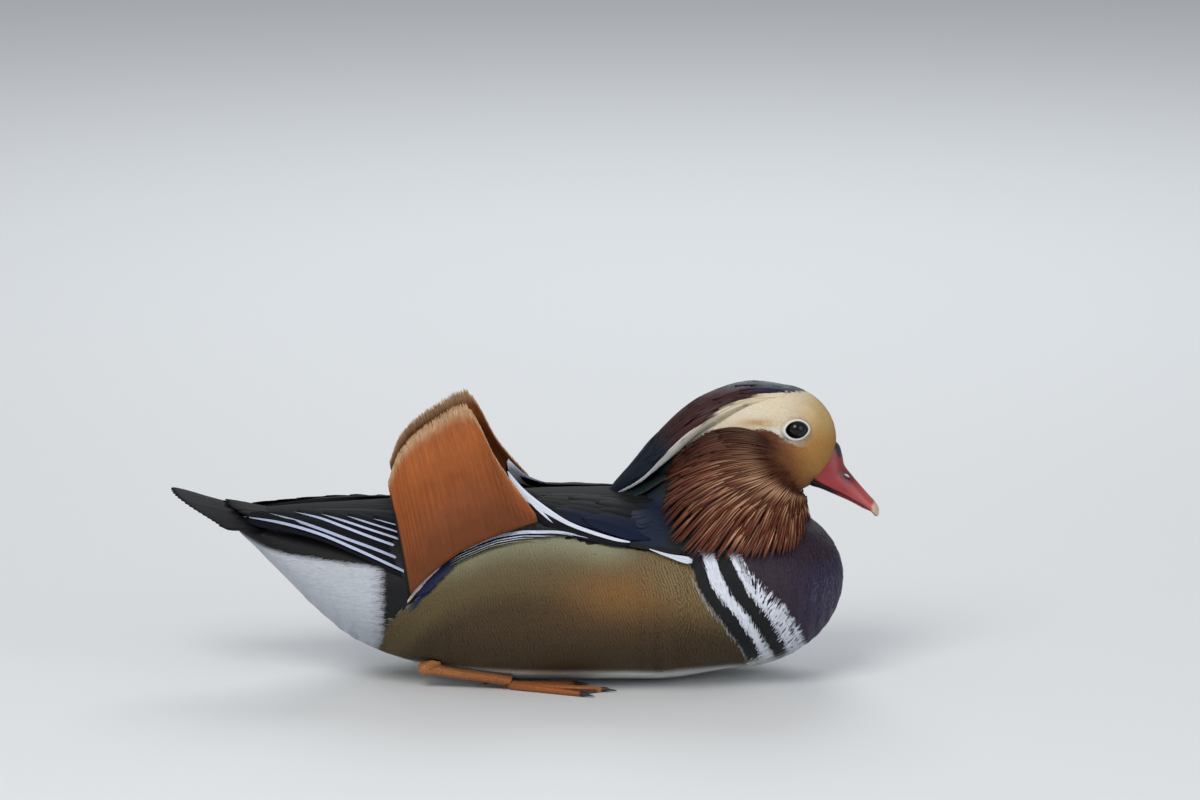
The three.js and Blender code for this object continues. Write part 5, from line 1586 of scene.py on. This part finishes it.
# how far the frayed barbs reach past the top edge
fringeReach = curveThrough([(0, 2.0), (0.3, 4.4), (0.55, 5.4), (0.69, 6.2), (0.74, 2.8), (0.85, 1.6),
                            (1, 0.8)])


def onSail(s, t, side, lift):
    s, t = np.broadcast_arrays(np.asarray(s, float), np.asarray(t, float))
    foot, top = alongLines(sailFoot, s), alongLines(sailTop, s)
    high = np.hypot(top[..., 1] - foot[..., 1], top[..., 2] - foot[..., 2])
    bow = sailSetup["bow"] * high * np.sin(math.pi * np.clip(t, 0, 1)) * (1 - t)
    at = mix(foot, top, t[..., None])
    at = at + np.stack([0 * s, bow + lift, 0.8 * bow + 0.6 * lift], -1)
    return at * np.array([1, side, 1])


def sailColour(s, t):
    s, t = np.broadcast_arrays(np.asarray(s, float), np.asarray(t, float))
    colour = mix(tint["sailFoot"], tint["sailMiddle"], smoothStep(0.05, 0.5, t)[..., None])
    return mix(colour, tint["sailTop"], smoothStep(0.45, 0.95, t)[..., None])


def makeSailMaterial():
    material, tree, shader = newMaterial("sailBarbs")
    place = node(tree, "ShaderNodeUVMap", uv_map="Feather").outputs[0]
    parts = node(tree, "ShaderNodeSeparateXYZ", {0: place}).outputs
    stretched = node(tree, "ShaderNodeCombineXYZ",
                     {"X": times(tree, parts[0], 150.0), "Y": times(tree, parts[1], 3.0)})
    streak = noise(tree, stretched.outputs[0], 1.0, 3.0)
    broad = minus(tree, noise(tree, place, 9.0, 2.0), 0.5)
    shade = plus(tree, plus(tree, times(tree, streak, 0.6), 0.55), times(tree, broad, 0.35))
    wire(tree, shader, {
        "Base Color": scaled(tree, readAttribute(tree, "tint", "Color"), shade),
        "Roughness": 0.6, "Specular IOR Level": 0.2, "Normal": bumped(tree, streak, 0.5, 0.0003),
    })
    return material


sailFinish = makeSailMaterial()


def sailFaces(nS, nT, side):
    # an outer and an inner layer of nS by nT points, closed round all four edges
    faces = []
    under = nS * nT

    def quad(a, b, c, d):
        faces.append((a, b, c, d) if side < 0 else (d, c, b, a))

    for i in range(nS - 1):
        for j in range(nT - 1):
            a, b = i * nT + j, (i + 1) * nT + j
            quad(a, b, b + 1, a + 1)
            quad(under + a + 1, under + b + 1, under + b, under + a)
        a, b = i * nT, (i + 1) * nT
        quad(a, under + a, under + b, b)
        a, b = a + nT - 1, b + nT - 1
        quad(a, b, under + b, under + a)
    for j in range(nT - 1):
        quad(j, j + 1, under + j + 1, under + j)
        a = (nS - 1) * nT + j
        quad(a + 1, a, under + a, under + a + 1)
    return faces


def makeSail(side):
    rng = np.random.default_rng(sailSetup["seed"])
    plumes = newPlumes()
    nS, nT = sailSetup["across"], sailSetup["up"]
    s, t = np.meshgrid(np.linspace(0, 1, nS), np.linspace(0, 1, nT), indexing="ij")
    low, high = sailSetup["lift"]
    wave = np.sin(s * sailSetup["ripples"] + 2 * np.sin(t * 3))
    ripple = sailSetup["ripple"] * wave * np.sin(math.pi * np.clip(t * 1.2, 0, 1))
    outer = onSail(s, t, side, high + ripple).reshape(-1, 3)
    inner = onSail(s, t, side, mix(low, high - 0.25, smoothStep(0.75, 1, t))).reshape(-1, 3)
    colours = sailColour(s, t).reshape(-1, 3)
    colours = mix(colours, tint["sailFringe"], smoothStep(sailSetup["fringe"], 1.0, t).reshape(-1, 1) * 0.5)
    rearBlack = (1 - smoothStep(0.018, 0.03, s + 0.012 * (1 - t))).reshape(-1, 1)
    colours = mix(colours, tint["black"], rearBlack)
    places = np.stack([s.ravel(), t.ravel()], 1)
    addSurface(plumes, outer, sailFaces(nS, nT, side), places, places, colours, gloss=0.0)
    addSurface(plumes, inner, [], places, places, colours, gloss=0.0)
    # frayed barbs past the top edge
    share = np.linspace(0, 1, 5)
    for k in range(sailSetup["barbs"]):
        at = mix(0.0, 0.97, (k + rng.random()) / sailSetup["barbs"])
        grown = fringeReach(at) * rng.uniform(0.35, 1.05)
        height = np.linalg.norm(alongLines(sailTop, at) - alongLines(sailFoot, at))
        start = max(1 - (1.5 + 26 * rng.random() ** 2.5) / height, 0.04)
        up = mix(start, 1.0 + grown / height, share)
        lean = np.clip(at + rng.uniform(-0.006, 0.006) * share, 0, 1)
        path = onSail(lean, up, side, mix(3.35, rng.uniform(2.9, 4.2), share))
        fade = smoothStep(0.95, 1.0 + 0.6 * grown / height, up)[:, None]
        colour = mix(sailColour(at, up), tint["sailFringe"], fade) * rng.uniform(0.85, 1.1)
        addPlume(plumes, path, np.tile([0.1, side, 0.5], (5, 1)), mix(0.3, 0.05, share**2), colour,
                 thick=0.05, cup=0.0, across=3, gloss=0.0, chance=rng.random())
    # the dark shaft at the rear edge
    q = np.linspace(0, 1, 24)
    path = onSail(0.004 + 0 * q, q, side, high + 0 * q)
    addPlume(plumes, path, np.tile([-0.6, side, 0.4], (24, 1)), sailSetup["shaftHalf"] * (1 - 0.5 * q),
             tint["black"], thick=0.5, cup=0.1, gloss=0.4)
    hand = sideNames[side]
    finishPlumes(f"sail_{hand}_web", plumes, sailFinish, "sail_plumage", f"sail_{hand}")


for side in sideNames:
    makeSail(side)
print("sails made")


# Long narrow feathers along the top edge of each flank panel

edgeRows = [
    # below the edge, tint, half width, where the row ends in front, lift
    (-2.0, "black", 0.55, 74, 0.5), (-1.3, "black", 0.55, 74, 0.55), (-0.8, "black", 0.5, 72, 0.6),
    (-0.35, "edgeWhite", 0.34, 26, 0.95), (0.05, "edgeWhite", 0.36, 29, 1.0),
    (0.5, "edgeWhite", 0.32, 22, 0.95),
    (0.95, "black", 0.28, 26, 0.9), (1.35, "black", 0.26, 18, 0.9), (1.8, "edgeWhite", 0.2, 14, 0.88),
    (2.3, "black", 0.26, 12, 0.86), (2.8, "edgeWhite", 0.17, 4, 0.84), (3.3, "black", 0.22, 4, 0.82),
    (3.8, "flankGrey", 0.2, 0, 0.8), (4.2, "black", 0.16, -6, 0.78), (4.8, "patchBlue", 0.5, -31, 0.7),
    (5.5, "patchBlue", 0.5, -32, 0.66), (6.2, "patchBlue", 0.5, -33, 0.62),
    (6.9, "patchBlue", 0.5, -35, 0.58), (7.5, "patchBlue", 0.5, -37, 0.54),
]


edgeSetup = {"seed": 61, "length": (9, 14), "step": (3.0, 4.5), "rear": -53.5}


def makeFlankEdge(side):
    rng = np.random.default_rng(edgeSetup["seed"])
    plumes = newPlumes()
    share = np.linspace(0, 1, 9)
    for below, name, half, ahead, lift in edgeRows:
        outer, white = below < 1, name == "edgeWhite"
        x = ahead
        last = edgeSetup["rear"] if outer else mix(-51.5, -45.5, (below - 1) / 6.5)
        while x > last + 5:
            length = rng.uniform(*edgeSetup["length"])
            xs = np.linspace(x, max(x - length, last), 9)
            inner = below * (1 if outer else float(mix(1.0, 0.75, smoothStep(-20, -44, x))))
            h = flankTop(xs) - inner + rng.uniform(-0.1, 0.1)
            path, normals = onSeen(xs, h, side, lift + 0.15 * share)
            colour = tint[name]
            if white:
                colour = mix(colour, tint["edgePink"], smoothStep(-30, -42, xs)[:, None])
            if not outer:
                colour = mix(colour, tint["patchBlue"], smoothStep(-30, -35, xs)[:, None])
            wider = 1 + 0.9 * smoothStep(-34, -44, xs) * (1 - smoothStep(-47, -53, xs)) * (white and outer)
            faded = mix(1.0, 0.45, smoothStep(ahead - 16, ahead, xs)) if white else 1.0
            addPlume(plumes, path, normals, half * wider * faded * bladeWidth(share, 0.5, 0.4),
                     colour * rng.uniform(0.9, 1.05), thick=0.12, cup=0.05, gloss=0.2, across=3,
                     chance=rng.random())
            x -= rng.uniform(*edgeSetup["step"])
    finishPlumes(f"flankEdge_{sideNames[side]}", plumes, plumeFinish, "flank_plumage")


for side in sideNames:
    makeFlankEdge(side)
print("flank edges made")


# Bill

billSetup = {
    "base": (138, 0, 97.5), "tip": (162, 0, 76.5), "around": 40, "nail": (28.8, 30.0), "end": 33.8,
    "nostril": {"at": 10.1, "high": 3.2, "long": 3.1, "tall": 1.1},
}
billLines = {
    "top": curveThrough([(-8, 12), (-2, 11.7), (3, 8.9), (7, 6), (12.7, 4.8), (19, 3.8), (24, 3.1), (29, 2.5),
                         (32.5, 1.0), (33.8, -0.6)]),
    "seam": curveThrough([(-8, -8.2), (0, -7.6), (11.6, -4.7), (19, -3), (28, -1.6), (30.5, -1.7), (33, -2.2),
                          (33.8, -1.6)]),
    "bottom": curveThrough([(-8, -12.5), (1, -11.2), (5, -9.4), (11.6, -7.3), (19, -5), (28, -2.9),
                            (30.5, -2.2)]),
    "half": curveThrough([(-8, 8), (3, 7.4), (12, 6.2), (20, 5.6), (27, 5.4), (31, 4.3), (33.8, 1.2)]),
}
billTints = {
    "red": (142, 34, 40), "pink": (176, 78, 76), "deep": (92, 22, 28), "nail": (196, 170, 142),
    "skin": (24, 20, 24), "gape": (40, 16, 20),
}
billTint = {name: linear(rgb) for name, rgb in billTints.items()}
billBase, billTip = np.array(billSetup["base"], float), np.array(billSetup["tip"], float)
billAlong = unit(billTip - billBase)
billOver = np.array([-billAlong[2], 0, billAlong[0]])


def billPoint(s, y, o):
    # along the bill, across it and over it
    s, y, o = np.broadcast_arrays(np.asarray(s, float), np.asarray(y, float), np.asarray(o, float))
    return billBase + s[..., None] * billAlong + o[..., None] * billOver + y[..., None] * np.array([0, 1, 0])


def billColours(s, o, upper):
    state = {"tint": np.tile(billTint["red"], (len(s), 1))}

    def paint(name, mask):
        state["tint"] = mix(state["tint"], billTint[name], mask[:, None])

    above = o - billLines["seam"](s)
    # paler pink towards the tip: partly the bill's own tone, partly a painted highlight
    paint("pink", smoothStep(13, 24, s) * 0.55)
    if upper:
        ridge = smoothStep(0.35, 1.0, above / (billLines["top"](s) - billLines["seam"](s)))
        paint("deep", ridge * (1 - smoothStep(8, 20, s)) * 0.6)
    paint("nail", smoothStep(*billSetup["nail"], s + (1.2 if upper else 0) * (o > 0)))
    if upper:
        paint("skin", smoothStep(7.9, 8.7, o + 0.3 * s) * (1 - smoothStep(1.9, 2.7, s)))
        # a dark band along the upper bill's lower edge: painted shade where it meets the lower bill
        paint("gape", (1 - smoothStep(0.15, 0.9, above)) * 0.8)
        nostril = billSetup["nostril"]
        away = np.hypot((s - nostril["at"]) / 4.3, (o - nostril["high"]) / 2.0)
        # darker round the nostril: painted shade in its pit
        paint("deep", (1 - smoothStep(0.8, 1.25, away)) * 0.9)
    else:
        # the lower bill's base is painted near black: painted shade below the upper bill
        paint("skin", 1 - smoothStep(9, 14, s))
    return state["tint"]


def makeBillMaterial():
    material, tree, shader = newMaterial("billHorn")
    place = objectPlace(tree)
    patchy = noise(tree, place, 160.0, 3.0)
    shade = plus(tree, 0.78, times(tree, patchy, 0.44))
    wire(tree, shader, {
        "Base Color": scaled(tree, readAttribute(tree, "tint", "Color"), shade),
        "Roughness": plus(tree, 0.3, times(tree, patchy, 0.2)),
        "Coat Weight": 0.25, "Coat Roughness": 0.25,
        "Normal": bumped(tree, noise(tree, place, 900.0, 3.0), 0.12, 0.0002),
    })
    return material


billFinish = makeBillMaterial()


def nostrilCutters():
    # one slot through the bill, and a shallow pit round each end of it
    spec = billSetup["nostril"]
    turn = np.linspace(0, 2 * math.pi, 32, endpoint=False)
    ahead, over = spec["long"] * np.cos(turn), spec["tall"] * np.sin(turn)
    shapes = [[billPoint(spec["at"] + 0.5 + 0.62 * ahead, y, spec["high"] + 0.72 * over) for y in (-12, 12)]]
    level = np.sin(np.linspace(-1.45, 1.45, 15))
    for side in sideNames:
        shapes.append([billPoint(spec["at"] + 1.12 * math.sqrt(1 - a * a) * ahead, side * (6.9 + 1.5 * a),
                                 spec["high"] + 1.6 * math.sqrt(1 - a * a) * over) for a in level])
    cutters = []
    for shape in shapes:
        vertices, faces = tubeOfRings(np.array(shape))
        cutters.append(meshPiece("nostrilCutter", vertices * mm, faces))
        faceOutwards(cutters[-1].data)
    return cutters


def upperRings():
    angle = np.linspace(0, math.pi, billSetup["around"])
    across = np.linspace(-1, 1, 14)[1:-1]
    tip = mix(24, billSetup["end"], np.sin(np.linspace(0, math.pi / 2, 22)[1:]))
    rings = []
    for at in np.concatenate([np.linspace(-8, 24, 56), tip]):
        seam, top, half = (billLines[name](at) for name in ("seam", "top", "half"))
        pinch = 1 - 0.1 * np.sin(angle) ** 2 * smoothStep(4, 10, at) * (1 - smoothStep(24, 30, at))
        over = seam + (top - seam) * np.maximum(0, np.sin(angle)) ** 0.9
        roof = seam + 0.5 * (1 - across**2)
        rings.append(np.concatenate([billPoint(at, half * np.cos(angle) * pinch, over),
                                     billPoint(at, across * half, roof)]))
    return np.array(rings)


def lowerRings():
    angle = np.linspace(math.pi, 2 * math.pi, billSetup["around"])
    across = np.linspace(1, -1, 12)[1:-1]
    rings = []
    for at in np.linspace(-8, 29.5, 50):
        seam, low, half = (billLines[name](at) for name in ("seam", "bottom", "half"))
        half = (half - 0.8) * (1 - 0.6 * smoothStep(26, 29.5, at))
        high = seam - 0.3
        low = min(low, high - 0.4)
        under = high + (high - low) * np.minimum(0, np.sin(angle))
        rings.append(np.concatenate([billPoint(at, half * np.cos(angle), under),
                                     billPoint(at, across * half, high)]))
    return np.array(rings)


def makeBill():
    for name, cad, rings in (("billUpper", "bill_upper", upperRings()),
                             ("billLower", "bill_lower", lowerRings())):
        vertices, faces = tubeOfRings(rings)
        piece = meshPiece(name, vertices * mm, faces)
        faceOutwards(piece.data)
        if name == "billUpper":
            cutters = nostrilCutters()
            for cutter in cutters:
                cut = piece.modifiers.new("nostril", "BOOLEAN")
                cut.object = cutter
                cut.operation = "DIFFERENCE"
                cut.solver = "EXACT"
            applyModifiers(piece)
            for cutter in cutters:
                bpy.data.objects.remove(cutter)
        points = readPoints(piece.data) - billBase
        writeLooks(piece.data, billColours(points @ billAlong, points @ billOver, name == "billUpper"))
        piece.data.materials.clear()
        piece.data.materials.append(billFinish)
        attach(piece, "root")
        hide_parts(cad)


makeBill()
print("bill made")


# Eyes and lids

eyeLook = {
    "iris": (24, 13, 9), "pupil": (3, 3, 4), "rim": (12, 9, 9), "irisEdge": (4.5, 5.0),
    "pupilEdge": (2.7, 3.1), "forward": 0.22, "up": 0.02,
}
lidSetup = {"around": 72, "corner": 0.07, "brow": 0.3, "overBall": 0.25}
lidRows = [
    # share of the opening, height over the body, tint, and how far it turns to the colour of the face
    (0.86, -1.8, "black", 0), (0.93, 0.0, "black", 0), (0.98, 0.3, "edge", 0), (1.05, 0.4, "white", 0.1),
    (1.13, 0.3, "white", 0.45), (1.25, -0.3, "white", 0.9), (1.5, -2.1, "white", 1), (1.12, -3.2, "black", 0),
]


def makeEyeMaterial():
    material, tree, shader = newMaterial("eyeGloss")
    shade = plus(tree, 0.7, times(tree, noise(tree, objectPlace(tree), 1600.0, 2.0), 0.6))
    wire(tree, shader, {
        "Base Color": scaled(tree, readAttribute(tree, "tint", "Color"), shade),
        "Roughness": 0.06, "Specular IOR Level": 0.2, "Coat Weight": 0.2, "Coat Roughness": 0.02,
    })
    return material


eyeFinish = makeEyeMaterial()
lidFinish = plumeMaterial("lidSkin", roughness=0.6, pitch=0.6, barbDepth=0.1, shaft=0.001, coat=0.0)
eyeBase = float(keelSide(headLines, eyeSetup["x"], eyeSetup["z"])) - eyeSetup["sunk"]


def makeEye(side):
    name = f"eyeBall_{sideNames[side]}"
    mesh = bpy.data.meshes.new(name)
    work = bmesh.new()
    bmesh.ops.create_uvsphere(work, u_segments=64, v_segments=40, radius=eyeSetup["radius"] * mm)
    work.to_mesh(mesh)
    work.free()
    eye = addObject(name, mesh)
    co = readPoints(mesh)[:, [0, 2, 1]] * (1, 1, -1)
    look = unit(np.array([eyeLook["forward"], side, eyeLook["up"]]))
    off = np.linalg.norm(np.cross(co, look), axis=1)
    tints = np.tile(linear(eyeLook["rim"]), (len(co), 1))
    for part in ("iris", "pupil"):
        within = (co @ look > 0) * (1 - smoothStep(*eyeLook[part + "Edge"], off))
        tints = mix(tints, linear(eyeLook[part]), within[:, None])
    co[:, [0, 2]] *= eyeSetup["squash"]
    writePoints(mesh, co + np.array([eyeSetup["x"], side * eyeBase, eyeSetup["z"]]))
    shadeSmooth(mesh)
    writeLooks(mesh, tints)
    mesh.materials.append(eyeFinish)
    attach(eye, "root")
    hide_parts(f"eye_{sideNames[side]}")


def makeLids(side):
    around, count = lidSetup["around"], len(lidRows)
    angle = np.linspace(0, 2 * math.pi, around, endpoint=False)
    # the lids meet in a soft corner at the front and the back
    corner = 1 + lidSetup["corner"] * np.cos(angle) ** 8
    rows = []
    for share, lift, name, faceShare in lidRows:
        x = eyeSetup["x"] + share * corner * eyeSetup["length"] / 2 * np.cos(angle)
        z = eyeSetup["z"] + share * 0.96 * eyeSetup["height"] / 2 * np.sin(angle)
        brow = lidSetup["brow"] * np.clip(np.sin(angle), 0, 1) * (lift > 0)
        row = onSide(x, z, side, lift + brow)[0]
        if lift > -1:
            # over the ball
            level = (row[:, 0] - eyeSetup["x"]) / eyeSetup["squash"][0]
            upright = (row[:, 2] - eyeSetup["z"]) / eyeSetup["squash"][1]
            over = eyeSetup["radius"] ** 2 - level**2 - upright**2
            out = eyeBase + np.sqrt(np.maximum(over, 0)) + lidSetup["overBall"]
            row[:, 1] = side * np.maximum(np.abs(row[:, 1]), out * (over > 0))
        rows.append(row)
    points = np.array(rows).transpose(1, 0, 2).reshape(-1, 3)
    faces = []
    for a in range(0, around * count, count):
        b = (a + count) % (around * count)
        for i in range(count):
            j = (i + 1) % count
            faces.append((a + i, a + j, b + j, b + i))
    lids = meshPiece(f"eyelids_{sideNames[side]}", points * mm, faces)
    faceOutwards(lids.data)
    rowTints = {"black": tint["black"], "white": tint["white"],
                "edge": mix(tint["black"], tint["white"], 0.1)}
    tints = np.tile([rowTints[name] for share, lift, name, faceShare in lidRows], (around, 1))
    faceShares = np.tile([row[3] for row in lidRows], around)[:, None]
    tints = mix(tints, plumage(points, ring=False)[0], faceShares)
    writeLooks(lids.data, tints, gloss=0.2, random=0.5)
    uv = np.stack([np.repeat(angle, count) / 20, np.tile(np.linspace(0.6, 0.9, count), around)], 1)
    writeMap(lids.data, "Feather", uv)
    lids.data.materials.append(lidFinish)
    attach(lids, "root")


for side in sideNames:
    makeEye(side)
    makeLids(side)
print("eyes and lids made")


# Legs and feet, tucked beside the belly

footLook = {
    "skin": (150, 84, 34), "pale": (158, 98, 50), "web": (66, 50, 42), "claw": (38, 32, 30),
    "voxel": 0.36, "softness": 0.5, "smoothing": 6, "merge": 0.02, "overFloor": 0.05,
    # root and tip of each toe, from above
    "toes": [((-6, 37), (25, 30)), ((-6, 37), (38, 43)), ((-6, 37), (28, 54)), ((-10, 34), (-19, 30))],
    "toeEdge": (1.6, 2.6), "clawEdge": (2.6, 3.4),
}


def makeFootMaterial():
    material, tree, shader = newMaterial("footSkin")
    place = objectPlace(tree)
    scales = node(tree, "ShaderNodeTexVoronoi", {"Vector": place, "Scale": 620.0}, feature="DISTANCE_TO_EDGE")
    scaleEdge = ramp(tree, scales.outputs["Distance"], 0.0, 0.16)
    stain = noise(tree, place, 180.0, 4.0)
    # darker along the edges of the scales: painted shade in the grooves between them
    shade = plus(tree, 0.6, plus(tree, times(tree, scaleEdge, 0.35), times(tree, stain, 0.3)))
    wire(tree, shader, {
        "Base Color": scaled(tree, readAttribute(tree, "tint", "Color"), shade),
        "Roughness": 0.45, "Normal": bumped(tree, scaleEdge, 0.4, 0.0002),
    })
    return material


footFinish = makeFootMaterial()


def makeLimb(cad, name, side):
    mesh = bpy.data.meshes.new(name)
    faceOutwards(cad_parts[cad].data, mesh, footLook["merge"] * mm)
    limb = addObject(name, mesh)
    remeshSmooth(limb, footLook["voxel"], footLook["softness"], footLook["smoothing"])
    mesh = limb.data
    co = readPoints(mesh)
    co[:, 2] = np.maximum(co[:, 2], footLook["overFloor"])
    writePoints(mesh, co)
    tints = mix(linear(footLook["skin"]), linear(footLook["pale"]), smoothStep(3, 8, co[:, 2])[:, None])
    if "foot" in cad:
        x, y = co[:, 0], co[:, 1] * side
        toToe, toClaw = [], []
        for (ax, ay), (bx, by) in footLook["toes"]:
            t = ((x - ax) * (bx - ax) + (y - ay) * (by - ay)) / ((bx - ax) ** 2 + (by - ay) ** 2)
            t = np.clip(t, 0, 1)
            toToe.append(np.hypot(x - mix(ax, bx, t), y - mix(ay, by, t)))
            toClaw.append(np.hypot(x - bx, y - by))
        web = smoothStep(*footLook["toeEdge"], np.min(toToe, 0))
        claw = 1 - smoothStep(*footLook["clawEdge"], np.min(toClaw, 0))
        tints = mix(tints, linear(footLook["web"]), web[:, None])
        tints = mix(tints, linear(footLook["claw"]), claw[:, None])
    writeLooks(mesh, tints)
    mesh.materials.clear()
    mesh.materials.append(footFinish)
    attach(limb, "root")
    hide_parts(cad)
    print(name, "made:", len(mesh.vertices), "points")


for side, hand in sideNames.items():
    makeLimb(f"leg_{hand}", f"shank_{hand}", side)
    makeLimb(f"foot_{hand}", f"webbedFoot_{hand}", side)
print("legs and feet made")


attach(skin, "root")
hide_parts("torso", "neck", "head")
